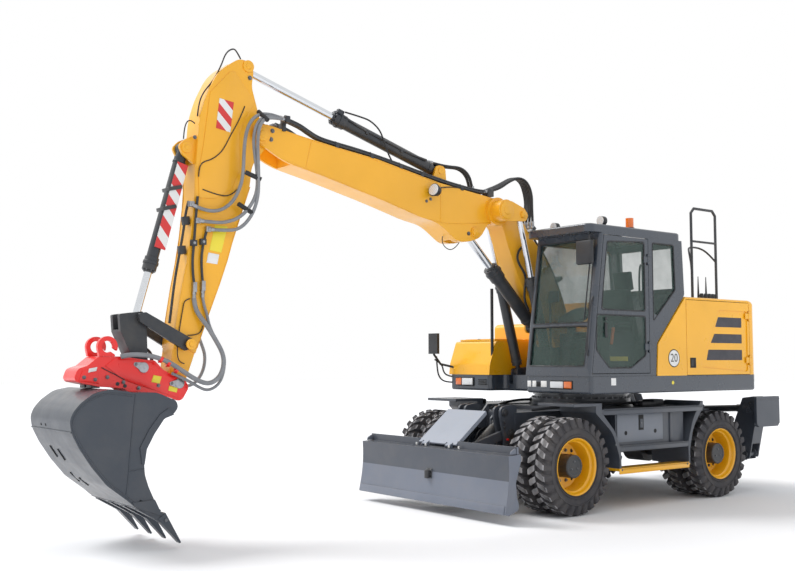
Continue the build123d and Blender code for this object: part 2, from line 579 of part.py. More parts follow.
# === UPPER STRUCTURE =====================================================================
BRACKET_IN = 212          # inner face of the boom bracket plates, from the boom plane
BRACKET_T = 18
BAND_ROUND = 28           # lower edge of the platform's band
BRACKET_T2 = 24           # outer plates of the lift cylinders' pins
with BuildPart() as platform:
    with BuildSketch(Plane.XY.offset(DECK_Z)) as plan:
        with BuildLine():
            FilletPolyline(
                (1205, HALF_WIDTH - 20), (1180, HALF_WIDTH), (TAIL_X, HALF_WIDTH), (TAIL_X - 250, 500),
                (TAIL_X - 250, -500), (TAIL_X, -HALF_WIDTH), (1030, -HALF_WIDTH),
                (1090, -HALF_WIDTH + 60),
                (1060, -500), (820, -500), (820, 215), (1205, 255),
                radius=(40, 40, 90, 300, 300, 90, 40, 60, 60, 60, 60, 60), close=True)
        make_face()
    extrude(plan.sketch, PLATFORM_TOP - DECK_Z)
    fillet(platform.edges().group_by(Axis.Z)[0], BAND_ROUND)
    with Locations((0, 0, (RACE_Z1 + DECK_Z) / 2)):
        Cylinder(TURRET_R, DECK_Z - RACE_Z1)
    for side in (-1, 1):
        slab([(60, PLATFORM_TOP - 1), (110, FOOT[1] + 60, 60), (170, FOOT[1] + 120, 70),
              (320, FOOT[1] + 120, 90),
              (410, FOOT[1] - 30, 120), (590, LIFT_BASE[1] + 70, 120),
              (LIFT_BASE[0] + 66, LIFT_BASE[1] + 46, 40),
              (LIFT_BASE[0] + 80, PLATFORM_TOP - 1)], BOOM_Y + side * (BRACKET_IN + BRACKET_T / 2),
              BRACKET_T)
        slab([(LIFT_BASE[0] - 120, PLATFORM_TOP - 1), (LIFT_BASE[0] - 60, LIFT_BASE[1] + 60, 50),
              (LIFT_BASE[0] + 66, LIFT_BASE[1] + 46, 40), (LIFT_BASE[0] + 80, PLATFORM_TOP - 1)],
             BOOM_Y + side * (LIFT_OFFSET + 50), BRACKET_T2)
        block(LIFT_BASE[0] - 100, LIFT_BASE[0] + 130, BOOM_Y + side * 231, BOOM_Y + side * 301,
              PLATFORM_TOP - 110, PLATFORM_TOP + 10, mode=Mode.SUBTRACT)
        pin(LIFT_BASE[0], LIFT_BASE[1], BOOM_Y + side * BRACKET_IN, BOOM_Y + side * (LIFT_OFFSET + 62),
            38)
    pin(FOOT[0], FOOT[1], BOOM_Y - BRACKET_IN - BRACKET_T, BOOM_Y + BRACKET_IN + BRACKET_T, 55)

HOOD_HINGE_X = -1732
HOOD_HINGES = (1650, 2200)
TAIL_ROUND = 60           # upper edge of the counterweight
HOOD_ROUND = 24           # long upper edges of the hood's sheet
with BuildPart() as counterweight:
    with BuildSketch(Plane.XY.offset(PLATFORM_TOP)) as plan:
        with BuildLine():
            FilletPolyline(
                (-1750, HALF_WIDTH), (TAIL_X, HALF_WIDTH), (TAIL_X - 200, 700), (TAIL_X - 260, 0),
                (TAIL_X - 200, -700), (TAIL_X, -HALF_WIDTH), (-1750, -HALF_WIDTH),
                radius=(0, 110, 400, 3000, 400, 110, 0), close=True)
        make_face()
    extrude(plan.sketch, HOOD_TOP - PLATFORM_TOP)
    fillet(counterweight.edges().group_by(Axis.Z)[-1].filter_by_position(Axis.X, -3000, -1751),
           TAIL_ROUND)
    for side in (-1, 1):
        for z in HOOD_HINGES:
            frame_hinge(HOOD_HINGE_X, HALF_WIDTH, z, side)
with BuildPart() as lifting_bosses:
    for side in (-1, 1):
        foot = (LIFT_HOLE[0], side * LIFT_HOLE[1], HOOD_TOP + SEAT)
        top = (LIFT_HOLE[0], side * LIFT_HOLE[1], HOOD_TOP + SEAT + LIFT_HOLE[2])
        bar(foot, top, LIFT_BOSS_R)
        bar(foot, top, LIFT_HOLE_R, mode=Mode.SUBTRACT)

RAIL_R = 17               # tube of the handrails
RAIL_X = (-1580, -1080)
RAIL_Y = 900
RAIL_TOP = 3556
RAIL_MID = 3140
with BuildPart() as engine_hood:
    block(-1749, -470, -HALF_WIDTH, HALF_WIDTH, HOOD_TOP - SHEET, HOOD_TOP)
    long_edges = engine_hood.edges().filter_by(Axis.X).group_by(Axis.Z)[-1]
    fillet(long_edges, HOOD_ROUND)
    block(-500, -470, -HALF_WIDTH + SHEET + 6, HALF_WIDTH - SHEET - 6, PLATFORM_TOP, HOOD_TOP - 1)
    for side in (-1, 1):
        block(-1749, -1700, side * (HALF_WIDTH - 90), side * (HALF_WIDTH - 40), PLATFORM_TOP,
              HOOD_TOP - 1)
    # handrail loop on the hood, with a middle bar
    tube([(RAIL_X[0], RAIL_Y, HOOD_TOP - 5), (RAIL_X[0], RAIL_Y, RAIL_TOP - 60),
          (RAIL_X[0] + 60, RAIL_Y, RAIL_TOP),
          (RAIL_X[1] - 60, RAIL_Y, RAIL_TOP), (RAIL_X[1], RAIL_Y, RAIL_TOP - 60),
          (RAIL_X[1], RAIL_Y, HOOD_TOP - 5)], RAIL_R)
    bar((RAIL_X[0], RAIL_Y, RAIL_MID), (RAIL_X[1], RAIL_Y, RAIL_MID), RAIL_R - 3)

SIDE_PANEL = [(-469, PLATFORM_TOP), (80, PLATFORM_TOP), (56, 1838, 30), (-462, 2395), (-469, 2395)]
with BuildPart() as side_panel:
    slab(SIDE_PANEL, (HALF_WIDTH + 300) / 2, HALF_WIDTH - 300)

# louvre pocket of the engine doors: its outline, and the openings with their slats
POCKET = [(-1104, 2261, 40), (-1706, 2261, 40), (-1702, 1507, 40), (-727, 1566, 40)]
POCKET_DEEP = 12
LOUVRES = (  # z of the lower and upper edge, x of the front's lower and upper corner
    (2054, 2175, -1052, -1116),
    (1858, 1970, -956, -1034),
    (1650, 1777, -868, -909),
)
LOUVRE_REAR = -1600
SLATS = 3
SLAT_H = 9


def engine_door(side):
    """One engine door with its louvres, and its hinge knuckles at the rear edge."""
    block(-1742, -476, side * (HALF_WIDTH - SHEET), side * HALF_WIDTH, PLATFORM_TOP + 6,
          HOOD_TOP - SHEET - 6)
    slab(POCKET, side * HALF_WIDTH, 2 * POCKET_DEEP, mode=Mode.SUBTRACT)
    for z0, z1, low_x, high_x in LOUVRES:
        slab([(low_x, z0, 12), (high_x, z1, 12), (LOUVRE_REAR, z1, 12), (LOUVRE_REAR, z0, 12)],
             side * HALF_WIDTH, 3 * SHEET, mode=Mode.SUBTRACT)
        for k in range(SLATS):
            z = z0 + (z1 - z0) * (k + 1) / (SLATS + 1)
            block(LOUVRE_REAR - 4, low_x + (high_x - low_x) * (z - z0) / (z1 - z0) + 6,
                  side * (HALF_WIDTH - SHEET), side * (HALF_WIDTH - POCKET_DEEP - 4), z - SLAT_H / 2,
                  z + SLAT_H / 2)
    for z in HOOD_HINGES:
        leaf_hinge(HOOD_HINGE_X, HALF_WIDTH, z, side)


with BuildPart() as engine_door_left:
    engine_door(1)
with BuildPart() as engine_door_right:
    engine_door(-1)
with BuildPart() as engine_block:
    block(-1550, -650, -700, 600, PLATFORM_TOP, 2200)

with BuildPart() as right_tank:
    slab([(-469, PLATFORM_TOP), (300, PLATFORM_TOP), (300, 2120, 70), (-469, 2120)], -875, 750)
    fillet(right_tank.edges().filter_by(Axis.X).group_by(Axis.Z)[-1], 30)
LID_AXIS = (328, 1905)
POST_FOOT = (1008, -520, 1700)
POST_TOP = 2530
POST_R = 19
MIRROR_TUBE_R = 14
LID_HINGES = (-1080, -670)
with BuildPart() as right_box:
    slab([(301, PLATFORM_TOP), (1080, PLATFORM_TOP), (1065, 1600, 120), (960, 1885, 40), (301, 1885)],
         -875, 750)
    slab([(330, PLATFORM_TOP + 30), (1045, PLATFORM_TOP + 30), (1035, 1600), (940, 1900), (330, 1900)],
         -875, 690,
         mode=Mode.SUBTRACT)
    # grab post beside the boom, and the mirror on its bent tube outside
    tube([POST_FOOT, (POST_FOOT[0], POST_FOOT[1], POST_TOP)], POST_R)
    tube([(1055, -1180, 1560), (1190, -1290, 1600), (1290, -1300, 1720), (1290, -1300, 1960)],
         MIRROR_TUBE_R)
    block(1272, 1308, -1390, -1215, 1730, 1990)
    for y in LID_HINGES:
        bar((LID_AXIS[0], y - 58, LID_AXIS[1]), (LID_AXIS[0], y + 58, LID_AXIS[1]), 8)
        for end in (-1, 1):
            block(LID_AXIS[0] - 14, LID_AXIS[0] + 12, y + end * 46, y + end * 60, 1880, LID_AXIS[1] + 12)
with BuildPart() as toolbox_lid:
    block(345, 930, -1200, -550, 1885 + SEAT, 1910)
    for y in LID_HINGES:
        bar((LID_AXIS[0], y - 40, LID_AXIS[1]), (LID_AXIS[0], y + 40, LID_AXIS[1]), 16)
        block(LID_AXIS[0], 350, y - 40, y + 40, LID_AXIS[1] - 14, 1910)
        bar((LID_AXIS[0], y - 60, LID_AXIS[1]), (LID_AXIS[0], y + 60, LID_AXIS[1]), 8 + FIT,
            mode=Mode.SUBTRACT)

# cab: the slanted front and the rear cut back over the hood
CAB_FRONT_LOW = (1225, 1560)
CAB_FRONT_TOP = (1010, 3060)
CAB_TOP = 3060
CAB_PROFILE = [(1215, PLATFORM_TOP + SEAT), CAB_FRONT_LOW, CAB_FRONT_TOP, (-425, CAB_TOP),
               (-458, 2420, 50),
               (62, 1850, 60), (90, PLATFORM_TOP + SEAT)]


def front_x(z):
    """x of the slanted front wall at a height."""
    share = (z - CAB_FRONT_LOW[1]) / (CAB_FRONT_TOP[1] - CAB_FRONT_LOW[1])
    return CAB_FRONT_LOW[0] + share * (CAB_FRONT_TOP[0] - CAB_FRONT_LOW[0])


CAB_FLOOR = 1500
CAB_HINGE_X = 212
CAB_HINGES = (1800, 2800)
CORNER_POST_R = 42         # outer edges of the cab's corner posts
DOOR_REAR = 200
DOOR_FRONT = 62            # door's front edge behind the cab's front
DOOR_LOW = 1505
DOOR_TOP = 3035
WINDOW_R = 55
SILL = 2025                # windscreen: top of its lower pane
SCREEN_BAR = 35
QUARTER = [(120, 2100), (120, 3000), (-270, 3000), (-290, 2470)]
INNER_WINDOW = [(1090, 1800), (950, 2990), (-250, 2990), (-290, 2470), (130, 2060), (130, 1800)]
SCREENS = ((1580, SILL), (SILL + SCREEN_BAR, 2990))
CAB_MID = (CAB_Y0 + CAB_Y1) / 2
CAB_WIDTH = CAB_Y1 - CAB_Y0


def door_outline(gap):
    """The door, or with a gap its opening in the cab's side."""
    return [(front_x(DOOR_LOW) - DOOR_FRONT + gap, DOOR_LOW - gap),
            (front_x(DOOR_TOP) - DOOR_FRONT + gap, DOOR_TOP + gap),
            (DOOR_REAR - gap, DOOR_TOP + gap), (DOOR_REAR - gap, DOOR_LOW - gap)]


with BuildPart() as cab_shell:
    slab(CAB_PROFILE, CAB_MID, CAB_WIDTH)
    front_edges = cab_shell.edges().filter_by_position(Axis.X, 1000,
                                                       1230).filter_by(lambda edge: 1400 < edge.length < 1600)
    fillet(front_edges, CORNER_POST_R)
    inner = [(1160, CAB_FLOOR), (1165, 1560), (960, CAB_TOP + 20), (-375, CAB_TOP + 20), (-405, 2440),
             (112, 1870),
             (135, CAB_FLOOR)]
    slab(inner, CAB_MID, CAB_WIDTH - 2 * CAB_WALL, mode=Mode.SUBTRACT)
    slab(door_outline(DOOR_GAP), CAB_Y1, 2 * CAB_WALL + 10, mode=Mode.SUBTRACT)
    slab(QUARTER, CAB_Y1, 2 * CAB_WALL + 10, corner=WINDOW_R, mode=Mode.SUBTRACT)
    slab(INNER_WINDOW, CAB_Y0, 2 * CAB_WALL + 10, corner=WINDOW_R, mode=Mode.SUBTRACT)
    for low, high in SCREENS:
        block(900, 1300, CAB_Y0 + PILLAR, CAB_Y1 - PILLAR, low, high, mode=Mode.SUBTRACT)
    for z in CAB_HINGES:
        frame_hinge(CAB_HINGE_X, CAB_Y1, z, 1)
    block(-480, -300, CAB_Y0 + PILLAR, CAB_Y1 - PILLAR, 2500, 2980, mode=Mode.SUBTRACT)
ROOF_CORNER = 90
ROOF_ROUND = 26
ROOF_FRONT = 1190          # its front stands out over the windscreen
ROOF_BACK = -431
ROOF_T = 92
LAMPS = (  # x, y, base z and radius of the lamps on the roof
    (830, 1110, 3152, 52),
    (830, 392, 3152, 52),
)
BEACON = (345, 1100, 3152, 130, 46)
with BuildPart() as cab_roof:
    with BuildSketch(Plane.XY.offset(CAB_TOP + SEAT)) as plan:
        with Locations(((ROOF_FRONT + ROOF_BACK) / 2, CAB_MID)):
            RectangleRounded(ROOF_FRONT - ROOF_BACK, CAB_WIDTH, ROOF_CORNER)
    extrude(plan.sketch, ROOF_T)
    fillet(cab_roof.edges().group_by(Axis.Z)[-1], ROOF_ROUND)
    for x, y, z, radius in LAMPS:
        bar((x - 30, y, z + radius + 8), (x + 34, y, z + radius + 8), radius)
        bar((x, y, z - 4), (x, y, z + radius), 12)
    bar((BEACON[0], BEACON[1], BEACON[2] - 4), (BEACON[0], BEACON[1], BEACON[2] + 22), BEACON[4] + 8)
    bar((BEACON[0], BEACON[1], BEACON[2] + 20), (BEACON[0], BEACON[1], BEACON[2] + BEACON[3]), BEACON[4])
UPPER_PANE = [(900, 2966), (266, 3000), (266, 2205), (1010, 2205)]
LOWER_PANE = [(1085, 2150), (1104, 1764, 90), (893, 1564, 90), (522, 1563, 90), (263, 1703, 90),
              (263, 2150)]
with BuildPart() as cab_door:
    slab(door_outline(0), CAB_Y1 - CAB_WALL / 2, CAB_WALL)
    slab(UPPER_PANE, CAB_Y1, 3 * CAB_WALL, corner=WINDOW_R, mode=Mode.SUBTRACT)
    slab(LOWER_PANE, CAB_Y1, 3 * CAB_WALL, corner=WINDOW_R, mode=Mode.SUBTRACT)
    for z in CAB_HINGES:
        leaf_hinge(CAB_HINGE_X, CAB_Y1, z, 1)
PANE = 8
with BuildPart() as door_glass:
    slab(UPPER_PANE, CAB_Y1 - 10, PANE, corner=WINDOW_R)
    slab(LOWER_PANE, CAB_Y1 - 10, PANE, corner=WINDOW_R)
with BuildPart() as cab_glass:
    slab(QUARTER, CAB_Y1 - 15, PANE, corner=WINDOW_R)
    slab(INNER_WINDOW, CAB_Y0 + 15, PANE, corner=WINDOW_R)
    for low, high in SCREENS:
        slab([(front_x(low) - 20, low), (front_x(high) - 20, high), (front_x(high) - 20 - PANE, high),
              (front_x(low) - 20 - PANE, low)], CAB_MID, CAB_WIDTH - 2 * PILLAR)

with BuildPart() as seat:
    block(330, 560, 620, 880, CAB_FLOOR + SEAT, 1770)
    slab([(250, 1760), (250, 1900), (760, 1920), (780, 1790)], 750, 500, corner=30)
    slab([(150, 1850), (60, 2480), (30, 2680), (110, 2690), (150, 2500), (275, 1950), (275, 1850)], 750,
         480, corner=20)
with BuildPart() as cab_console:
    slab([(1020, 1500), (1080, 1500), (960, 2130), (920, 2120)], 750, 90)
    bar((905, 750, 2120), (925, 750, 2150), 190)
    for y in (440, 1060):
        block(330, 760, y - 60, y + 60, 1500, 1960)

# === BOOM ================================================================================
EYE_GAP = 5
LOWER_BOOM = flowing([
    (150, 1800), (280, 2350), (560, 2850), (880, 3170), (987, 3305), (1090, 3430), (1200, 3440),
    (1380, 3510),
    (1500, 3500), (1560, 3400), (1500, 3270), (1330, 3255), (1222, 2982), (1069, 2650), (985, 2490),
    (830, 2320), (600, 2110), (370, 1700), (230, 1640)])
UPPER_BOOM = flowing([
    (1335, 3519), (1620, 3552), (2306, 3632), (3186, 3797), (3834, 3872), (4583, 3985), (4690, 3900),
    (4640, 3787), (4325, 3626), (3884, 3537), (3185, 3376), (2594, 3223), (2338, 3181), (2044, 2989),
    (1870, 3000), (1700, 3060), (1573, 3245), (1420, 3225), (1300, 3300), (1290, 3450)])
STICK = flowing([
    (4838, 4599), (4713, 4582), (4676, 4492), (4701, 4344), (4640, 4150), (4600, 4010), (4480, 3900),
    (4520, 3760), (4690, 3560), (4706, 3340), (4884, 2817), (4970, 2514), (5155, 2026), (5334, 1514),
    (5390, 1370), (5470, 1360), (5515, 1430), (5504, 1580), (5474, 1889), (5418, 2280), (5339, 2704),
    (5290, 3213), (5296, 3342), (5283, 3542), (5256, 3958), (5193, 4169), (5061, 4440)])
ADJUST_LUG_Y = 78
ADJUST_LUG_T = 26
TONGUE_Y = 332            # plates that reach from the knuckle pin to the lift cylinders
TONGUE_T = 36
KNUCKLE_BORE_R = 125
KNUCKLE_RING_R = 165
FORK_GAP = 8              # between a boom's fork and what turns in it
CYL_LUG_Y = 70
TIP_HALF = 108            # half width of the stick's narrow lower end
TIP_NARROW_R = 334
with BuildPart() as lower_boom:
    slab(LOWER_BOOM, BOOM_Y, 2 * STICK_HALF)
    pin(FOOT[0], FOOT[1], BOOM_Y - BRACKET_IN + EYE_GAP, BOOM_Y + BRACKET_IN - EYE_GAP, 120)
    for side in (-1, 1):
        slab([(520, 2100), (490, 1980), (640, 1975), (ADJUST_BASE[0] + 40, ADJUST_BASE[1] - 66, 60),
              (ADJUST_BASE[0] + 72, ADJUST_BASE[1] + 4, 60), (ADJUST_BASE[0] + 20, ADJUST_BASE[1] + 74,
                                                              50),
              (640, 2170)], BOOM_Y + side * ADJUST_LUG_Y, ADJUST_LUG_T)
    pin(ADJUST_BASE[0], ADJUST_BASE[1], BOOM_Y - 95, BOOM_Y + 95, 40)
    pin(FOOT[0], FOOT[1], BOOM_Y - 300, BOOM_Y + 300, 55 + FIT, mode=Mode.SUBTRACT)
    pin(KNUCKLE[0], KNUCKLE[1], BOOM_Y - TONGUE_Y - TONGUE_T / 2, BOOM_Y + TONGUE_Y + TONGUE_T / 2,
        KNUCKLE_BORE_R)
    for side in (-1, 1):
        slab([(1545, 3360, 80), (1520, 3440, 60), (1400, 3500, 90), (1175, 3425, 60), (1110, 3352, 45),
              (1150, 3275, 60), (1330, 3262, 120), (1490, 3255, 80)], BOOM_Y + side * TONGUE_Y, TONGUE_T)
        pin(LIFT_EYE[0], LIFT_EYE[1], BOOM_Y + side * (TONGUE_Y - 2),
            BOOM_Y + side * (TONGUE_Y + TONGUE_T / 2 + 14), 46)

with BuildPart() as upper_boom:
    slab(UPPER_BOOM, BOOM_Y, 2 * BOOM_HALF)
    # the tail is a fork round the lower boom's head, the front a fork round the stick
    fork = STICK_HALF + FORK_GAP
    block(1200, 1700, BOOM_Y - fork, BOOM_Y + fork, 3100, 3700, mode=Mode.SUBTRACT)
    block(4250, 4800, BOOM_Y - fork, BOOM_Y + fork, 3400, 4100, mode=Mode.SUBTRACT)
    block(1500, 2080, BOOM_Y - 65, BOOM_Y + 65, 2950, 3230, mode=Mode.SUBTRACT)
    for side in (-1, 1):
        pin(KNUCKLE[0], KNUCKLE[1], BOOM_Y + side * (BOOM_HALF - 10), BOOM_Y + side * (BOOM_HALF + 45),
            KNUCKLE_RING_R)
        slab([(STICK_CYL_BASE[0] - 90, 3560), (STICK_CYL_BASE[0] - 75, STICK_CYL_BASE[1] - 60, 60),
              (STICK_CYL_BASE[0] - 66, STICK_CYL_BASE[1] + 58, 62),
              (STICK_CYL_BASE[0] + 62, STICK_CYL_BASE[1] + 62, 62),
              (STICK_CYL_BASE[0] + 100, STICK_CYL_BASE[1] - 60, 80), (STICK_CYL_BASE[0] + 230, 3570)],
             BOOM_Y + side * CYL_LUG_Y, 30)
        pin(ADJUST_EYE[0], ADJUST_EYE[1], BOOM_Y + side * (BOOM_HALF - 2),
            BOOM_Y + side * (BOOM_HALF + 16), 62)
        pin(STICK_PIVOT[0], STICK_PIVOT[1], BOOM_Y + side * (BOOM_HALF - 2),
            BOOM_Y + side * (BOOM_HALF + 12), 92)
    pin(STICK_CYL_BASE[0], STICK_CYL_BASE[1], BOOM_Y - 92, BOOM_Y + 92, 38)
    pin(STICK_PIVOT[0], STICK_PIVOT[1], BOOM_Y - BOOM_HALF - 20, BOOM_Y + BOOM_HALF + 20, 50)
    pin(KNUCKLE[0], KNUCKLE[1], BOOM_Y - 400, BOOM_Y + 400, KNUCKLE_BORE_R + FIT, mode=Mode.SUBTRACT)

with BuildPart() as stick:
    slab(STICK, BOOM_Y, 2 * STICK_HALF)
    pin(STICK_PIVOT[0], STICK_PIVOT[1], BOOM_Y - STICK_HALF, BOOM_Y + STICK_HALF, 130)
    block(4600, 4900, BOOM_Y - 55, BOOM_Y + 55, 4380, 4700, mode=Mode.SUBTRACT)
    for side in (-1, 1):
        slab([(5245, 3800), (BUCKET_CYL_BASE[0] + 20, BUCKET_CYL_BASE[1] + 78, 60),
              (BUCKET_CYL_BASE[0] + 84, BUCKET_CYL_BASE[1] + 10, 50),
              (BUCKET_CYL_BASE[0] + 40, BUCKET_CYL_BASE[1] - 74, 50),
              (5250, 3480)], BOOM_Y + side * CYL_LUG_Y, 26)
    pin(BUCKET_CYL_BASE[0], BUCKET_CYL_BASE[1], BOOM_Y - 90, BOOM_Y + 90, 32)
    pin(LEVER_PIVOT[0], LEVER_PIVOT[1], BOOM_Y - 200, BOOM_Y + 200, 36)
    pin(STICK_PIVOT[0], STICK_PIVOT[1], BOOM_Y - 300, BOOM_Y + 300, 50 + FIT, mode=Mode.SUBTRACT)
    pin(TIP_PIN[0], TIP_PIN[1], BOOM_Y - 300, BOOM_Y + 300, 36 + FIT, mode=Mode.SUBTRACT)
    for side in (-1, 1):
        pin(TIP_PIN[0], TIP_PIN[1], BOOM_Y + side * TIP_HALF, BOOM_Y + side * 300, TIP_NARROW_R,
            mode=Mode.SUBTRACT)

with BuildPart() as bucket_levers:
    for side in (-1, 1):
        y = BOOM_Y + side * (STICK_HALF + EYE_GAP + 20)
        slab([(LEVER_PIVOT[0] - 40, LEVER_PIVOT[1] + 45), (LEVER_EYE[0] - 30, LEVER_EYE[1] + 46),
              (LEVER_EYE[0] + 34, LEVER_EYE[1] + 32),
              (LEVER_EYE[0] + 26, LEVER_EYE[1] - 42), (LEVER_PIVOT[0] + 40, LEVER_PIVOT[1] - 60),
              (LEVER_PIVOT[0] - 50, LEVER_PIVOT[1] - 30)],
             y, 36, corner=15)
        pin(LEVER_PIVOT[0], LEVER_PIVOT[1], y - side * 30, y + side * 40, 36 + FIT, mode=Mode.SUBTRACT)
        pin(LEVER_EYE[0], LEVER_EYE[1], BOOM_Y + side * 62, y, 32)
with BuildPart() as bucket_link:
    slab([(LEVER_EYE[0] - 60, LEVER_EYE[1]), (LEVER_EYE[0] - 20, LEVER_EYE[1] + 55),
          (LEVER_EYE[0] + 196, LEVER_EYE[1] + 25), (LEVER_EYE[0] + 182, LEVER_EYE[1] - 130),
          (LINK_PIN[0] + 75, LINK_PIN[1] + 60), (LINK_PIN[0] + 55, LINK_PIN[1] - 10),
          (LINK_PIN[0], LINK_PIN[1] - 55), (LINK_PIN[0] - 60, LINK_PIN[1])], BOOM_Y, 2 * 108, corner=15)
    slab([(LEVER_EYE[0] - 200, LEVER_EYE[1] + 300), (LEVER_EYE[0] + 260, LEVER_EYE[1] + 300),
          (LEVER_EYE[0] + 260, LEVER_EYE[1] - 60), (LEVER_EYE[0] + 100, LEVER_EYE[1] - 170),
          (LEVER_EYE[0] - 200, LEVER_EYE[1] - 170)], BOOM_Y, 2 * 58, mode=Mode.SUBTRACT)
    pin(LEVER_EYE[0], LEVER_EYE[1], BOOM_Y - 200, BOOM_Y + 200, 32 + FIT, mode=Mode.SUBTRACT)

COUPLER_HALF = 142
COUPLER_WALL = 28
CLAW_R = 72               # the coupler's two claws over the bucket's bar
COUPLER = flowing([
    (5330, 1400), (5410, 1265), (5545, 1315), (5917, 1369), (5972, 1400), (6201, 1418), (6424, 1466),
    (6387, 1573), (6300, 1600), (6200, HOOK_SEAT_Z), (5990, HOOK_SEAT_Z), (5761, 1652), (5680, 1650),
    (5590, 1562), (5500, 1515), (5400, 1508)], most=60)
with BuildPart() as coupler:
    slab(COUPLER, BOOM_Y, 2 * COUPLER_HALF)
    slab([(BUCKET_BAR[0] - 60, 1330), (BUCKET_BAR[0] - CLAW_R, BUCKET_BAR[1] - 50, 30),
          (BUCKET_BAR[0] + CLAW_R - 20, BUCKET_BAR[1] - 56, 30), (BUCKET_BAR[0] + 80, 1345)], BOOM_Y,
          2 * COUPLER_HALF)
    slab([(5280, 1530), (5280, 1240), (5480, 1240), (5540, 1345), (5640, 1400), (5900, 1450),
          (6060, 1490),
          (6185, 1605), (6185, 1900), (5500, 1800)], BOOM_Y, 2 * (COUPLER_HALF - COUPLER_WALL),
          mode=Mode.SUBTRACT)
    pin(TIP_PIN[0], TIP_PIN[1], BOOM_Y - COUPLER_HALF - 13, BOOM_Y + COUPLER_HALF + 13, 36)
    for side in (-1, 1):
        pin(LINK_PIN[0], LINK_PIN[1], BOOM_Y + side * (COUPLER_HALF - COUPLER_WALL),
            BOOM_Y + side * (COUPLER_HALF + 13), 40)
    pin(BUCKET_BAR[0], BUCKET_BAR[1], BOOM_Y - 200, BOOM_Y + 200, 45 + SEAT, mode=Mode.SUBTRACT)
with BuildPart() as coupler_hooks:
    throat = (cos(radians(THROAT)), sin(radians(THROAT)))
    reach = HOOK_R + 40
    for side in (-1, 1):
        y = BOOM_Y + side * HOOK_Y
        pin(HOOK[0], HOOK[1], y - HOOK_T / 2, y + HOOK_T / 2, HOOK_R)
        slab([(HOOK[0] - 62, HOOK_SEAT_Z - 20), (HOOK[0] - 70, HOOK_SEAT_Z + 24),
              (HOOK[0], HOOK_SEAT_Z + 30),
              (HOOK[0] + 90, HOOK_SEAT_Z + 60), (HOOK[0] + 70, HOOK_SEAT_Z - 20)], y, HOOK_T)
        pin(HOOK[0], HOOK[1], y - HOOK_T, y + HOOK_T, HOOK_EYE_R, mode=Mode.SUBTRACT)
        slab([(HOOK[0] + 30 * throat[0] - THROAT_HALF * throat[1],
               HOOK[1] + 30 * throat[1] + THROAT_HALF * throat[0]),
              (HOOK[0] + reach * throat[0] - THROAT_HALF * throat[1],
               HOOK[1] + reach * throat[1] + THROAT_HALF * throat[0]),
              (HOOK[0] + reach * throat[0] + THROAT_HALF * throat[1],
               HOOK[1] + reach * throat[1] - THROAT_HALF * throat[0]),
              (HOOK[0] + 30 * throat[0] + THROAT_HALF * throat[1],
               HOOK[1] + 30 * throat[1] - THROAT_HALF * throat[0])],
             y, 2 * HOOK_T, mode=Mode.SUBTRACT)
        block(HOOK[0] - 200, HOOK[0] + 200, y - HOOK_T, y + HOOK_T, HOOK_SEAT_Z - 100,
              HOOK_SEAT_Z + SEAT, mode=Mode.SUBTRACT)
BUCKET_BAR_R = 45
BUCKET_SIDE = 25
EAR_R = 66
TOOTH_INSET = 45          # outer teeth, in from the bucket's sides
TOOTH_Y = (TOOTH_INSET - BUCKET_HALF, -152, 152, BUCKET_HALF - TOOTH_INSET)
LIP = (5986, 391)         # front edge of the bucket's floor
TOOTH_ROOT = (5731, 262)
TOOTH_TIP = (5561, 53)
BUCKET = flowing([
    (6218, 1405), (6019, 1370), (5808, 1369), (5663, 1306), (5600, 1250), (5650, 1172), (5740, 1141),
    (5830, 1013), (5898, 885), (5916, 755), (5908, 664), (5871, 557), (5820, 449), (5746, 305), LIP,
    (6069, 463), (6247, 598), (6382, 759), (6489, 916), (6556, 1044), (6574, 1145), (6548, 1219),
    (6485, 1293), (6369, 1377)], most=200)
BUCKET_INSIDE = flowing([
    (6210, 1380), (6019, 1344), (5500, 1342), (5500, 305), (5740, 330), (5976, 415), (6055, 480),
    (6230, 612), (6362, 771), (6468, 926), (6533, 1050), (6550, 1143), (6527, 1206), (6470, 1274),
    (6360, 1354)], most=180)
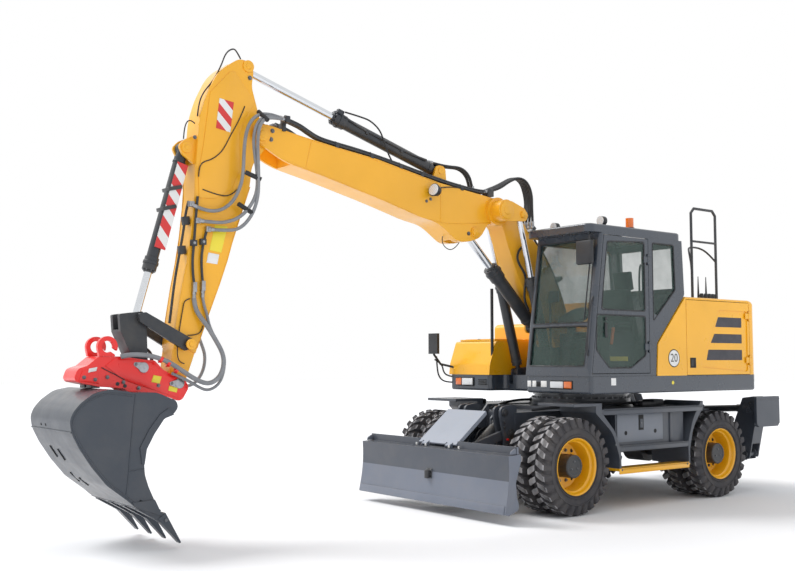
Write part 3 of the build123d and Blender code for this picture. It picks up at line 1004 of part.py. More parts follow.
with BuildPart() as bucket:
    slab(BUCKET, BOOM_Y, 2 * BUCKET_HALF)
    slab(BUCKET_INSIDE, BOOM_Y, 2 * (BUCKET_HALF - BUCKET_SIDE), mode=Mode.SUBTRACT)
    block(5500, 6000, BOOM_Y - 200, BOOM_Y + 200, 1290, 1500, mode=Mode.SUBTRACT)
    pin(BUCKET_BAR[0], BUCKET_BAR[1], BOOM_Y - BUCKET_HALF, BOOM_Y + BUCKET_HALF, BUCKET_BAR_R)
    for side in (-1, 1):
        # round ears that hold the bar, and the cutters on the side walls' front edges
        pin(BUCKET_BAR[0], BUCKET_BAR[1], BOOM_Y + side * (BUCKET_HALF - 70),
            BOOM_Y + side * BUCKET_HALF, EAR_R)
        pin(BUCKET_BAR[0], BUCKET_BAR[1], BOOM_Y + side * 205, BOOM_Y + side * 235, EAR_R + 20)
        slab([(5650, 1172), (5740, 1141), (5830, 1013), (5898, 885), (5916, 755), (5940, 760),
              (5960, 900),
              (5880, 1050), (5780, 1180), (5700, 1230)], BOOM_Y + side * (BUCKET_HALF + 4), 12)
        slab([(5816, 449), (5742, 303), (5986, 391), (6020, 440)], BOOM_Y + side * (BUCKET_HALF + 4), 14)
    slab([LIP, (LIP[0] - 150, LIP[1] - 78), (LIP[0] - 262, LIP[1] - 86), (LIP[0] - 150, LIP[1] - 38),
          (LIP[0] - 10, LIP[1] + 24)], BOOM_Y, 2 * BUCKET_HALF)
    for y in TOOTH_Y:
        # a forked adaptor over the lip with the pointed tooth on it
        slab([(5957, 366), (TOOTH_ROOT[0] + 20, TOOTH_ROOT[1] - 16),
              (TOOTH_ROOT[0] - 30, TOOTH_ROOT[1] - 10),
              (TOOTH_ROOT[0] - 20, TOOTH_ROOT[1] + 52), (5940, 428)], BOOM_Y + y, 76)
        spike((TOOTH_ROOT[0] + 14, TOOTH_ROOT[1] + 40), TOOTH_TIP, BOOM_Y + y, (88, 84), (70, 14))

# cylinders: base, eye, y, barrel length and radius, rod start and radius, eye radius and width,
# and the pin's radius
with BuildPart() as lift_barrels:
    for side in (-1, 1):
        barrel(LIFT_BASE, LIFT_EYE, BOOM_Y + side * LIFT_OFFSET, 1150, 60, 34, 62, 62, 38)
with BuildPart() as lift_rods:
    for side in (-1, 1):
        rod(LIFT_BASE, LIFT_EYE, BOOM_Y + side * LIFT_OFFSET, 560, 34, 60, 62)
with BuildPart() as adjust_barrel:
    barrel(ADJUST_BASE, ADJUST_EYE, BOOM_Y, 980, 78, 46, 70, 120, 40)
with BuildPart() as adjust_rod:
    rod(ADJUST_BASE, ADJUST_EYE, BOOM_Y, 500, 46, 78, 120)
with BuildPart() as stick_barrel:
    barrel(STICK_CYL_BASE, STICK_CYL_EYE, BOOM_Y, 1480, 66, 40, 66, 100, 38)
with BuildPart() as stick_rod:
    rod(STICK_CYL_BASE, STICK_CYL_EYE, BOOM_Y, 900, 40, 62, 100)
with BuildPart() as bucket_barrel:
    barrel(BUCKET_CYL_BASE, LEVER_EYE, BOOM_Y, 1220, 56, 36, 58, 100, 32)
with BuildPart() as bucket_rod:
    rod(BUCKET_CYL_BASE, LEVER_EYE, BOOM_Y, 600, 36, 55, 100)
with BuildPart() as blade_barrels:
    for side in (-1, 1):
        barrel(BLADE_CYL_BASE, BLADE_CYL_EYE, side * BLADE_CYL_Y, 560, 52, 30, 52, 90, 30)
with BuildPart() as blade_rods:
    for side in (-1, 1):
        rod(BLADE_CYL_BASE, BLADE_CYL_EYE, side * BLADE_CYL_Y, 330, 30, 46, 60)

tyres_front_left.part.label = "tyres_front_left"
export_step(tyres_front_left.part, "parts/tyres_front_left.step")
tyres_front_right.part.label = "tyres_front_right"
export_step(tyres_front_right.part, "parts/tyres_front_right.step")
tyres_rear_left.part.label = "tyres_rear_left"
export_step(tyres_rear_left.part, "parts/tyres_rear_left.step")
tyres_rear_right.part.label = "tyres_rear_right"
export_step(tyres_rear_right.part, "parts/tyres_rear_right.step")
wheel_front_left.part.label = "wheel_front_left"
export_step(wheel_front_left.part, "parts/wheel_front_left.step")
wheel_front_right.part.label = "wheel_front_right"
export_step(wheel_front_right.part, "parts/wheel_front_right.step")
wheel_rear_left.part.label = "wheel_rear_left"
export_step(wheel_rear_left.part, "parts/wheel_rear_left.step")
wheel_rear_right.part.label = "wheel_rear_right"
export_step(wheel_rear_right.part, "parts/wheel_rear_right.step")
knuckle_left.part.label = "knuckle_left"
export_step(knuckle_left.part, "parts/knuckle_left.step")
knuckle_right.part.label = "knuckle_right"
export_step(knuckle_right.part, "parts/knuckle_right.step")
front_axle.part.label = "front_axle"
export_step(front_axle.part, "parts/front_axle.step")
rear_axle.part.label = "rear_axle"
export_step(rear_axle.part, "parts/rear_axle.step")
chassis_frame.part.label = "chassis_frame"
export_step(chassis_frame.part, "parts/chassis_frame.step")
side_steps.part.label = "side_steps"
export_step(side_steps.part, "parts/side_steps.step")
blade_arms.part.label = "blade_arms"
export_step(blade_arms.part, "parts/blade_arms.step")
blade_links.part.label = "blade_links"
export_step(blade_links.part, "parts/blade_links.step")
blade.part.label = "blade"
export_step(blade.part, "parts/blade.step")
blade_cover.part.label = "blade_cover"
export_step(blade_cover.part, "parts/blade_cover.step")
outrigger_left.part.label = "outrigger_left"
export_step(outrigger_left.part, "parts/outrigger_left.step")
outrigger_right.part.label = "outrigger_right"
export_step(outrigger_right.part, "parts/outrigger_right.step")
outrigger_barrel_left.part.label = "outrigger_barrel_left"
export_step(outrigger_barrel_left.part, "parts/outrigger_barrel_left.step")
outrigger_barrel_right.part.label = "outrigger_barrel_right"
export_step(outrigger_barrel_right.part, "parts/outrigger_barrel_right.step")
outrigger_rod_left.part.label = "outrigger_rod_left"
export_step(outrigger_rod_left.part, "parts/outrigger_rod_left.step")
outrigger_rod_right.part.label = "outrigger_rod_right"
export_step(outrigger_rod_right.part, "parts/outrigger_rod_right.step")
platform.part.label = "platform"
export_step(platform.part, "parts/platform.step")
counterweight.part.label = "counterweight"
export_step(counterweight.part, "parts/counterweight.step")
lifting_bosses.part.label = "lifting_bosses"
export_step(lifting_bosses.part, "parts/lifting_bosses.step")
engine_hood.part.label = "engine_hood"
export_step(engine_hood.part, "parts/engine_hood.step")
side_panel.part.label = "side_panel"
export_step(side_panel.part, "parts/side_panel.step")
engine_door_left.part.label = "engine_door_left"
export_step(engine_door_left.part, "parts/engine_door_left.step")
engine_door_right.part.label = "engine_door_right"
export_step(engine_door_right.part, "parts/engine_door_right.step")
engine_block.part.label = "engine_block"
export_step(engine_block.part, "parts/engine_block.step")
right_tank.part.label = "right_tank"
export_step(right_tank.part, "parts/right_tank.step")
right_box.part.label = "right_box"
export_step(right_box.part, "parts/right_box.step")
toolbox_lid.part.label = "toolbox_lid"
export_step(toolbox_lid.part, "parts/toolbox_lid.step")
cab_shell.part.label = "cab_shell"
export_step(cab_shell.part, "parts/cab_shell.step")
cab_roof.part.label = "cab_roof"
export_step(cab_roof.part, "parts/cab_roof.step")
cab_door.part.label = "cab_door"
export_step(cab_door.part, "parts/cab_door.step")
door_glass.part.label = "door_glass"
export_step(door_glass.part, "parts/door_glass.step")
cab_glass.part.label = "cab_glass"
export_step(cab_glass.part, "parts/cab_glass.step")
seat.part.label = "seat"
export_step(seat.part, "parts/seat.step")
cab_console.part.label = "cab_console"
export_step(cab_console.part, "parts/cab_console.step")
lower_boom.part.label = "lower_boom"
export_step(lower_boom.part, "parts/lower_boom.step")
upper_boom.part.label = "upper_boom"
export_step(upper_boom.part, "parts/upper_boom.step")
stick.part.label = "stick"
export_step(stick.part, "parts/stick.step")
bucket_levers.part.label = "bucket_levers"
export_step(bucket_levers.part, "parts/bucket_levers.step")
bucket_link.part.label = "bucket_link"
export_step(bucket_link.part, "parts/bucket_link.step")
coupler.part.label = "coupler"
export_step(coupler.part, "parts/coupler.step")
coupler_hooks.part.label = "coupler_hooks"
export_step(coupler_hooks.part, "parts/coupler_hooks.step")
bucket.part.label = "bucket"
export_step(bucket.part, "parts/bucket.step")
lift_barrels.part.label = "lift_barrels"
export_step(lift_barrels.part, "parts/lift_barrels.step")
lift_rods.part.label = "lift_rods"
export_step(lift_rods.part, "parts/lift_rods.step")
adjust_barrel.part.label = "adjust_barrel"
export_step(adjust_barrel.part, "parts/adjust_barrel.step")
adjust_rod.part.label = "adjust_rod"
export_step(adjust_rod.part, "parts/adjust_rod.step")
stick_barrel.part.label = "stick_barrel"
export_step(stick_barrel.part, "parts/stick_barrel.step")
stick_rod.part.label = "stick_rod"
export_step(stick_rod.part, "parts/stick_rod.step")
bucket_barrel.part.label = "bucket_barrel"
export_step(bucket_barrel.part, "parts/bucket_barrel.step")
bucket_rod.part.label = "bucket_rod"
export_step(bucket_rod.part, "parts/bucket_rod.step")
blade_barrels.part.label = "blade_barrels"
export_step(blade_barrels.part, "parts/blade_barrels.step")
blade_rods.part.label = "blade_rods"
export_step(blade_rods.part, "parts/blade_rods.step")
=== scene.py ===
import math

import bmesh
import bpy
from mathutils import Matrix, Vector


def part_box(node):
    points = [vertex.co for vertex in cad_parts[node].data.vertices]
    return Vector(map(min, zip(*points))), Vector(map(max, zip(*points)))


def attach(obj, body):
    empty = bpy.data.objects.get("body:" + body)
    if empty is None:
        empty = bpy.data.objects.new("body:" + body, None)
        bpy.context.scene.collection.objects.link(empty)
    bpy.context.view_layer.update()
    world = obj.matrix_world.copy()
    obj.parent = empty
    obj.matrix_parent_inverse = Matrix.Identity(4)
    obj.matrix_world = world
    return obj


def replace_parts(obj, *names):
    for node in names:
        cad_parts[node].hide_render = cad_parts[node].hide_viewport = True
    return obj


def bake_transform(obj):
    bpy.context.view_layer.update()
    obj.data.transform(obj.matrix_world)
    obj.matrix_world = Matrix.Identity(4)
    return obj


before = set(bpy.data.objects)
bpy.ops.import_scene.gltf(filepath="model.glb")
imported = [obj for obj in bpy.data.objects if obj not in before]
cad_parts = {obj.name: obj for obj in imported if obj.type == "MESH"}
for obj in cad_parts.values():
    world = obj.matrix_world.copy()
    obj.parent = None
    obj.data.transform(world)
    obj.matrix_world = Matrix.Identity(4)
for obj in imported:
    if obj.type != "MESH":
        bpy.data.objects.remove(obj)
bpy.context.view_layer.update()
print("frame loaded")

viewCamera = {"place": (9.58, 8.71, 1.647), "looksAlong": (-0.6083, -0.7905, 0.0729), "lens": 46.09,
              "sensor": 36.0}


def placeCamera():
    data = bpy.data.cameras.new("viewCamera")
    data.lens = viewCamera["lens"]
    data.sensor_width = viewCamera["sensor"]
    data.clip_end = 200.0
    camera = bpy.data.objects.new("viewCamera", data)
    camera.location = viewCamera["place"]
    camera.rotation_euler = Vector(viewCamera["looksAlong"]).to_track_quat("-Z", "Y").to_euler()
    bpy.context.collection.objects.link(camera)
    bpy.context.scene.camera = camera


placeCamera()
bpy.context.scene.view_settings.view_transform = "Standard"


def toLinear(colour):
    # 0-255 screen values to the shader's linear ones
    shares = [value / 255.0 for value in colour]
    return (*[s / 12.92 if s <= 0.04045 else ((s + 0.055) / 1.055) ** 2.4 for s in shares], 1.0)


def shaded(colour, share):
    # the same linear colour, darker
    return tuple(c * share for c in colour[:3]) + (1.0,)


class Shader:
    # a material's node tree, with short ways to add and join its nodes
    def __init__(self, name):
        self.material = bpy.data.materials.new(name)
        self.material.use_nodes = True
        self.nodes = self.material.node_tree.nodes
        self.links = self.material.node_tree.links
        self.surface = self.nodes["Principled BSDF"]
        self.coordinates = self.nodes.new("ShaderNodeTexCoord")

    def add(self, kind, **settings):
        node = self.nodes.new(kind)
        for key, value in settings.items():
            setattr(node, key, value)
        return node

    def join(self, output, socket):
        self.links.new(output, socket)

    def noise(self, scale, detail=4.0, roughness=0.55, stretch=None):
        node = self.add("ShaderNodeTexNoise")
        node.inputs["Scale"].default_value = scale
        node.inputs["Detail"].default_value = detail
        node.inputs["Roughness"].default_value = roughness
        source = self.coordinates.outputs["Object"]
        if stretch:
            mapping = self.add("ShaderNodeMapping")
            mapping.inputs["Scale"].default_value = stretch
            self.join(source, mapping.inputs["Vector"])
            source = mapping.outputs["Vector"]
        self.join(source, node.inputs["Vector"])
        return node.outputs["Fac"]

    def ramp(self, value, low, high, start=0.35, end=0.65):
        node = self.add("ShaderNodeMapRange")
        node.inputs["From Min"].default_value = start
        node.inputs["From Max"].default_value = end
        node.inputs["To Min"].default_value = low
        node.inputs["To Max"].default_value = high
        self.join(value, node.inputs["Value"])
        return node.outputs["Result"]

    def mix(self, factor, first, second):
        node = self.add("ShaderNodeMix", data_type="RGBA")
        for socket, value in ((node.inputs[0], factor), (node.inputs[6], first), (node.inputs[7], second)):
            if hasattr(value, "is_linked"):
                self.join(value, socket)
            else:
                socket.default_value = value
        return node.outputs[2]

    def bump(self, height, strength, distance, before=None):
        node = self.add("ShaderNodeBump")
        node.inputs["Strength"].default_value = strength
        node.inputs["Distance"].default_value = distance
        self.join(height, node.inputs["Height"])
        if before is not None:
            self.join(before, node.inputs["Normal"])
        return node.outputs["Normal"]

    def softEdges(self, radius):
        node = self.add("ShaderNodeBevel", samples=4)
        node.inputs["Radius"].default_value = radius
        return node.outputs["Normal"]


paintLook = {"shade": 0.90, "patches": 1.3, "dust": (150, 138, 118), "specks": 9.0, "dustPatches": 2.6,
             "coatRough": 0.12, "edge": 0.006, "peelScale": 160.0, "peelDepth": 0.001}


def paint(name, colour, rough=0.32, coat=0.35, dustAmount=0.10, peel=0.05):
    shader = Shader(name)
    surface = shader.surface
    base = toLinear(colour)
    patches = shader.ramp(shader.noise(paintLook["patches"], 3.0), 0.0, 1.0)
    body = shader.mix(patches, shaded(base, paintLook["shade"]), base)
    # dust gathers in low patches and on what faces up
    geometry = shader.add("ShaderNodeNewGeometry")
    split = shader.add("ShaderNodeSeparateXYZ")
    shader.join(geometry.outputs["Normal"], split.inputs["Vector"])
    dusting = shader.add("ShaderNodeMath", operation="MULTIPLY_ADD")
    for socket, value in enumerate((
            shader.ramp(split.outputs["Z"], 0.0, dustAmount * 2.0, 0.3, 1.0),
            shader.ramp(shader.noise(paintLook["specks"], 8.0, 0.7), 0.0, 1.0, 0.4, 0.7),
            shader.ramp(shader.noise(paintLook["dustPatches"], 6.0, 0.65), 0.0, dustAmount, 0.45, 0.8))):
        shader.join(value, dusting.inputs[socket])
    shader.join(shader.mix(dusting.outputs[0], body, toLinear(paintLook["dust"])), surface.inputs["Base Color"])
    shader.join(shader.ramp(shader.noise(5.0, 6.0, 0.6), rough - 0.05, rough + 0.10, 0.3, 0.7),
                surface.inputs["Roughness"])
    surface.inputs["Coat Weight"].default_value = coat
    surface.inputs["Coat Roughness"].default_value = paintLook["coatRough"]
    edges = shader.softEdges(paintLook["edge"])
    grain = shader.noise(paintLook["peelScale"], 2.0)
    shader.join(shader.bump(grain, peel, paintLook["peelDepth"], edges), surface.inputs["Normal"])
    return shader.material


def rubber(name, colour, rough=0.75, bumpSize=0.002, scale=70.0, dust=None, dustAmount=0.5, paler=26):
    shader = Shader(name)
    lighter = toLinear(dust or tuple(min(255, c + paler) for c in colour))
    patches = shader.ramp(shader.noise(3.5, 8.0, 0.7), 0.0, dustAmount, 0.4, 0.75)
    shader.join(shader.mix(patches, toLinear(colour), lighter), shader.surface.inputs["Base Color"])
    shader.join(shader.ramp(shader.noise(8.0, 5.0), rough - 0.1, rough + 0.12, 0.3, 0.7),
                shader.surface.inputs["Roughness"])
    shader.join(shader.bump(shader.noise(scale, 5.0), 0.35, bumpSize), shader.surface.inputs["Normal"])
    return shader.material


def plainMetal(name, colour, rough, scale=40.0, stretch=None, edge=0.0, shade=0.78):
    shader = Shader(name)
    base = toLinear(colour)
    patches = shader.ramp(shader.noise(scale, 4.0, 0.6, stretch), 0.0, 1.0)
    shader.join(shader.mix(patches, shaded(base, shade), base), shader.surface.inputs["Base Color"])
    shader.surface.inputs["Metallic"].default_value = 1.0
    shader.join(shader.ramp(shader.noise(scale * 0.5, 5.0, 0.6, stretch), rough * 0.7, rough * 1.4, 0.3, 0.7),
                shader.surface.inputs["Roughness"])
    before = shader.softEdges(edge) if edge else None
    shader.join(shader.bump(shader.noise(scale * 3.0, 3.0), 0.08, 0.001, before),
                shader.surface.inputs["Normal"])
    return shader.material


def clearGlass(name, tint, density):
    # a tinted pane, mostly see-through, with a sharp reflection
    shader = Shader(name)
    surface = shader.surface
    surface.inputs["Base Color"].default_value = toLinear(tint)
    shader.join(shader.ramp(shader.noise(2.0, 4.0), density * 0.8, density * 1.2), surface.inputs["Alpha"])
    surface.inputs["Roughness"].default_value = 0.03
    surface.inputs["Specular IOR Level"].default_value = 0.9
    shader.material.surface_render_method = "BLENDED"
    return shader.material


def lens(name, colour, ribs=60.0):
    # a ribbed lamp glass
    shader = Shader(name)
    surface = shader.surface
    waves = shader.add("ShaderNodeTexWave")
    waves.inputs["Scale"].default_value = ribs
    shader.join(shader.coordinates.outputs["Object"], waves.inputs["Vector"])
    bright = toLinear(colour)
    shader.join(shader.mix(waves.outputs["Fac"], shaded(bright, 0.8), bright), surface.inputs["Base Color"])
    surface.inputs["Roughness"].default_value = 0.12
    surface.inputs["Coat Weight"].default_value = 0.8
    shader.join(shader.bump(waves.outputs["Fac"], 0.2, 0.001), surface.inputs["Normal"])
    return shader.material


finish = {
    "yellow": paint("yellowPaint", (255, 186, 22), rough=0.30, coat=0.45, dustAmount=0.03),
    "boomYellow": paint("boomYellow", (254, 184, 34), rough=0.34, coat=0.4, dustAmount=0.04),
    "cabGrey": paint("cabGrey", (58, 66, 77), rough=0.26, coat=0.5, dustAmount=0.04, peel=0.01),
    "chassisGrey": paint("chassisGrey", (66, 72, 82), rough=0.40, coat=0.25, dustAmount=0.12),
    "darkGrey": paint("darkGrey", (46, 50, 56), rough=0.45, coat=0.1, dustAmount=0.15),
    "bladeGrey": paint("bladeGrey", (108, 115, 129), rough=0.40, coat=0.25, dustAmount=0.12),
    # painted shade for the mouldboard's upper front panel, which faces down
    "bladePaintedShade": paint("bladePaintedShade", (66, 72, 83), rough=0.38, coat=0.3, dustAmount=0.08),
    "coverGrey": paint("coverGrey", (150, 157, 170), rough=0.40, coat=0.3, dustAmount=0.06),
    "panelGrey": paint("panelGrey", (112, 118, 128), rough=0.42, coat=0.2, dustAmount=0.12),
    "bucketGrey": paint("bucketGrey", (52, 60, 71), rough=0.40, coat=0.3, dustAmount=0.08),
    "red": paint("couplerRed", (255, 30, 26), rough=0.30, coat=0.5, dustAmount=0.04),
    "white": paint("signWhite", (240, 240, 238), rough=0.4, coat=0.2, dustAmount=0.03),
    "labelYellow": paint("labelYellow", (246, 226, 60), rough=0.4, coat=0.2, dustAmount=0.03),
    "signRed": paint("signRed", (222, 52, 52), rough=0.4, coat=0.2, dustAmount=0.03),
    "iron": paint("engineIron", (58, 58, 60), rough=0.6, coat=0.0, dustAmount=0.25),
    "plastic": rubber("moulding", (34, 36, 40), rough=0.5, bumpSize=0.0008, scale=260.0),
    "interior": rubber("interiorPlastic", (40, 43, 48), rough=0.55, bumpSize=0.0008, scale=260.0),
    "fabric": rubber("seatFabric", (40, 42, 48), rough=0.9, scale=400.0),
    "tyre": rubber("tyreRubber", (62, 61, 65), rough=0.8, bumpSize=0.003, dust=(120, 114, 108),
                   dustAmount=0.35),
    "lug": rubber("tyreLug", (138, 137, 140), rough=0.85, bumpSize=0.004, dust=(206, 204, 205), dustAmount=0.9),
    "hose": rubber("hoseRubber", (30, 31, 34), rough=0.55, bumpSize=0.001, scale=200.0),
    "wrap": rubber("hoseWrap", (128, 130, 134), rough=0.6, bumpSize=0.003, scale=90.0, dust=(170, 172, 174)),
    "chrome": plainMetal("chromeRod", (225, 228, 232), 0.10, stretch=(4.0, 4.0, 4.0)),
    "steel": plainMetal("bareSteel", (170, 172, 176), 0.32, edge=0.002),
    "bolt": plainMetal("zincBolt", (120, 122, 126), 0.35, edge=0.001),
    "glass": clearGlass("cabGlass", (58, 84, 76), 0.36),
    "lampClear": lens("lampClear", (236, 238, 240)),
    "lampOrange": lens("lampOrange", (250, 120, 20)),
    "mesh": rubber("louvreMesh", (70, 70, 76), rough=0.7, bumpSize=0.004, scale=300.0),
    # black paint for really black parts, and painted shade in holes and slots
    "black": rubber("blackAndHoleShade", (16, 17, 19), rough=0.7, bumpSize=0.001),
}
print("materials made")

nodeFinish = {
    "yellow": ["engine_hood", "side_panel", "engine_door_left", "engine_door_right", "right_tank", "right_box",
               "toolbox_lid", "counterweight", "wheel_front_left", "wheel_front_right", "wheel_rear_left",
               "wheel_rear_right"],
    "boomYellow": ["lower_boom", "upper_boom", "stick"],
    "cabGrey": ["platform", "cab_shell", "cab_roof", "cab_door"],
    "chassisGrey": ["chassis_frame", "side_steps", "outrigger_left", "outrigger_right", "blade_arms",
                    "blade_links"],
    "bladeGrey": ["blade"],
    "coverGrey": ["blade_cover"],
    "darkGrey": ["front_axle", "rear_axle", "knuckle_left", "knuckle_right", "bucket_levers", "bucket_link",
                 "lift_barrels", "adjust_barrel", "stick_barrel", "bucket_barrel", "blade_barrels",
                 "outrigger_barrel_left", "outrigger_barrel_right", "lifting_bosses"],
    "bucketGrey": ["bucket"],
    "red": ["coupler", "coupler_hooks"],
    "iron": ["engine_block"],
    "chrome": ["lift_rods", "adjust_rod", "stick_rod", "bucket_rod", "blade_rods", "outrigger_rod_left",
               "outrigger_rod_right"],
    "glass": ["cab_glass", "door_glass"],
    "fabric": ["seat"],
    "interior": ["cab_console"],
    "tyre": ["tyres_front_left", "tyres_front_right", "tyres_rear_left", "tyres_rear_right"],
}
for finishName, nodeNames in nodeFinish.items():
    for nodeName in nodeNames:
        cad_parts[nodeName].data.materials.clear()
        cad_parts[nodeName].data.materials.append(finish[finishName])


studio = {"floorSize": 60.0, "floorColours": ((240, 240, 241), (245, 245, 246)), "floorRough": 0.9,
          "sky": 0.85, "skyColour": (0.95, 0.97, 1.0, 1.0), "backdrop": (1.0, 1.0, 1.0, 1.0),
          "sun": 2.2, "sunWidth": 25.0, "sunTurn": (38, 12, 20)}


def makeFloor():
    grid = bmesh.new()
    bmesh.ops.create_grid(grid, x_segments=1, y_segments=1, size=studio["floorSize"])
    mesh = bpy.data.meshes.new("studioFloor")
    grid.to_mesh(mesh)
    grid.free()
    floor = bpy.data.objects.new("studioFloor", mesh)
    bpy.context.collection.objects.link(floor)
    shader = Shader("floorPaper")
    first, second = studio["floorColours"]
    shader.join(shader.mix(shader.noise(0.6), toLinear(first), toLinear(second)),
                shader.surface.inputs["Base Color"])
    shader.surface.inputs["Roughness"].default_value = studio["floorRough"]
    mesh.materials.append(shader.material)


def makeSky():
    # lights softly, but looks plain white to the camera, in reflections and through glass
    world = bpy.data.worlds.new("studioSky")
    world.use_nodes = True
    nodes = world.node_tree.nodes
    links = world.node_tree.links

    def either(first, second):
        node = nodes.new("ShaderNodeMath")
        node.operation = "MAXIMUM"
        links.new(first, node.inputs[0])
        links.new(second, node.inputs[1])
        return node.outputs[0]

    sky = nodes["Background"]
    sky.inputs["Color"].default_value = studio["skyColour"]
    sky.inputs["Strength"].default_value = studio["sky"]
    plain = nodes.new("ShaderNodeBackground")
    plain.inputs["Color"].default_value = studio["backdrop"]
    ray = nodes.new("ShaderNodeLightPath").outputs
    seen = either(ray["Is Camera Ray"], either(ray["Is Glossy Ray"], ray["Is Transmission Ray"]))
    mixer = nodes.new("ShaderNodeMixShader")
    links.new(seen, mixer.inputs["Fac"])
    links.new(sky.outputs[0], mixer.inputs[1])
    links.new(plain.outputs[0], mixer.inputs[2])
    links.new(mixer.outputs[0], nodes["World Output"].inputs["Surface"])
    bpy.context.scene.world = world


def makeSun():
    lamp = bpy.data.lights.new("keyLight", "SUN")
    lamp.energy = studio["sun"]
    lamp.angle = math.radians(studio["sunWidth"])
    keyLight = bpy.data.objects.new("keyLight", lamp)
    keyLight.rotation_euler = [math.radians(turn) for turn in studio["sunTurn"]]
    bpy.context.collection.objects.link(keyLight)


makeFloor()
makeSky()
makeSun()
print("studio made")


def finishPiece(mesh, name, body, finishNames, across=None, sharp=32.0):
    # turns a bmesh into an object at the origin that rides on its body; given across, it is left in place and
    # rides on nothing
    data = bpy.data.meshes.new(name)
    mesh.to_mesh(data)
    mesh.free()
    data.shade_smooth()
    data.set_sharp_from_angle(angle=math.radians(sharp))
    piece = bpy.data.objects.new(name, data)
    bpy.context.collection.objects.link(piece)
    for finishName in finishNames:
        data.materials.append(finish[finishName])
    if across:
        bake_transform(piece)
    else:
        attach(piece, body)
    return piece


def bevelSharp(part, width, segments=2, angle=30.0):
    sharp = [edge for edge in part.edges
             if len(edge.link_faces) == 2 and edge.calc_face_angle(0.0) > math.radians(angle)]
    bmesh.ops.bevel(part, geom=sharp, offset=width, offset_type="OFFSET", affect="EDGES", segments=segments,
                    profile=0.5, material=-1, clamp_overlap=True)


def addMesh(mesh, other):
    # copies a finished small bmesh into a larger one and gives its new vertices
    before = len(mesh.verts)
    data = bpy.data.meshes.new("part")
    other.to_mesh(data)
    mesh.from_mesh(data)
    bpy.data.meshes.remove(data)
    mesh.verts.ensure_lookup_table()
    return mesh.verts[before:]


def joinPart(mesh, part, index):
    # gives a small bmesh its finish, copies it into the larger one and frees it
    for face in part.faces:
        face.material_index = index
    addMesh(mesh, part)
    part.free()


def turnPart(part, degrees, axis):
    turn = Matrix.Rotation(math.radians(degrees), 3, axis)
    bmesh.ops.rotate(part, cent=(0, 0, 0), matrix=turn, verts=part.verts)


def addBox(mesh, low, high, bevel=0.004, index=0, tilt=0):
    # a block between two corners, tilted about y by some degrees
    part = bmesh.new()
    bmesh.ops.create_cube(part, size=1.0)
    low, high = Vector(low), Vector(high)
    bmesh.ops.scale(part, vec=high - low, verts=part.verts)
    if bevel:
        bevelSharp(part, bevel)
    if tilt:
        turnPart(part, tilt, "Y")
    bmesh.ops.translate(part, vec=(low + high) / 2, verts=part.verts)
    joinPart(mesh, part, index)


def addRod(mesh, start, end, radius, endRadius=None, segments=32, bevel=0.0, index=0):
    # a round bar, cone or disc from start to end
    start, end = Vector(start), Vector(end)
    part = bmesh.new()
    bmesh.ops.create_cone(part, cap_ends=True, segments=segments, radius1=radius,
                          radius2=radius if endRadius is None else endRadius, depth=(end - start).length)
    if bevel:
        bevelSharp(part, bevel)
    turn = (end - start).to_track_quat("Z", "Y").to_matrix()
    bmesh.ops.rotate(part, cent=(0, 0, 0), matrix=turn, verts=part.verts)
    bmesh.ops.translate(part, vec=(start + end) / 2, verts=part.verts)
    joinPart(mesh, part, index)


def addSideRod(mesh, x, z, y, sign, low, high, radius, segments=32, bevel=0.0, index=0):
    # a disc or stub across y, from low to high out of a side face
    addRod(mesh, (x, y + sign * low, z), (x, y + sign * high, z), radius, segments=segments, bevel=bevel,
           index=index)


def addPinCap(mesh, x, z, y, sign, radius, sunk, step, top, segments=48, share=0.5, rimSegments=40):
    # the stepped cap over a pin's end
    addSideRod(mesh, x, z, y, sign, -sunk, step, radius, segments, 0.004)
    addSideRod(mesh, x, z, y, sign, 0.0, top, radius * share, rimSegments, 0.003)


def addBolt(mesh, place, direction, radius=0.012, height=0.010, index=0):
    # hexagon head on a washer, standing on a face
    place, direction = Vector(place), Vector(direction).normalized()
    addRod(mesh, place, place + direction * height * 0.3, radius * 1.35, segments=20, index=index)
    addRod(mesh, place, place + direction * height, radius, segments=6, bevel=radius * 0.12, index=index)


def extrudeAcross(part, faces, width):
    grown = bmesh.ops.extrude_face_region(part, geom=faces)["geom"]
    bmesh.ops.translate(part, vec=(0, width, 0), verts=[v for v in grown if isinstance(v, bmesh.types.BMVert)])
    bmesh.ops.recalc_face_normals(part, faces=part.faces)


def addPlate(mesh, outline, middle, width, bevel=0.003, index=0):
    # a plate whose outline lies in x and z, standing across y
    part = bmesh.new()
    face = part.faces.new([part.verts.new((x, middle - width / 2, z)) for x, z in outline])
    extrudeAcross(part, [face], width)
    if bevel:
        bevelSharp(part, bevel)
    joinPart(mesh, part, index)


def oblong(x0, x1, z0, z1):
    return [(x0, z0), (x1, z0), (x1, z1), (x0, z1)]


def addSpin(mesh, outline, centre, side=1.0, steps=72, index=0):
    # turns a closed outline of (radius, distance out along y) round an axis along y
    part = bmesh.new()
    ring = [part.verts.new((radius, side * out, 0.0)) for radius, out in outline]
    edges = [part.edges.new(pair) for pair in zip(ring, ring[1:] + ring[:1])]
    bmesh.ops.spin(part, geom=ring + edges, cent=(0, 0, 0), axis=(0, 1, 0), angle=math.radians(360),
                   steps=steps, use_merge=True)
    bmesh.ops.remove_doubles(part, verts=part.verts, dist=0.00005)
    bmesh.ops.recalc_face_normals(part, faces=part.faces)
    bmesh.ops.translate(part, vec=centre, verts=part.verts)
    joinPart(mesh, part, index)


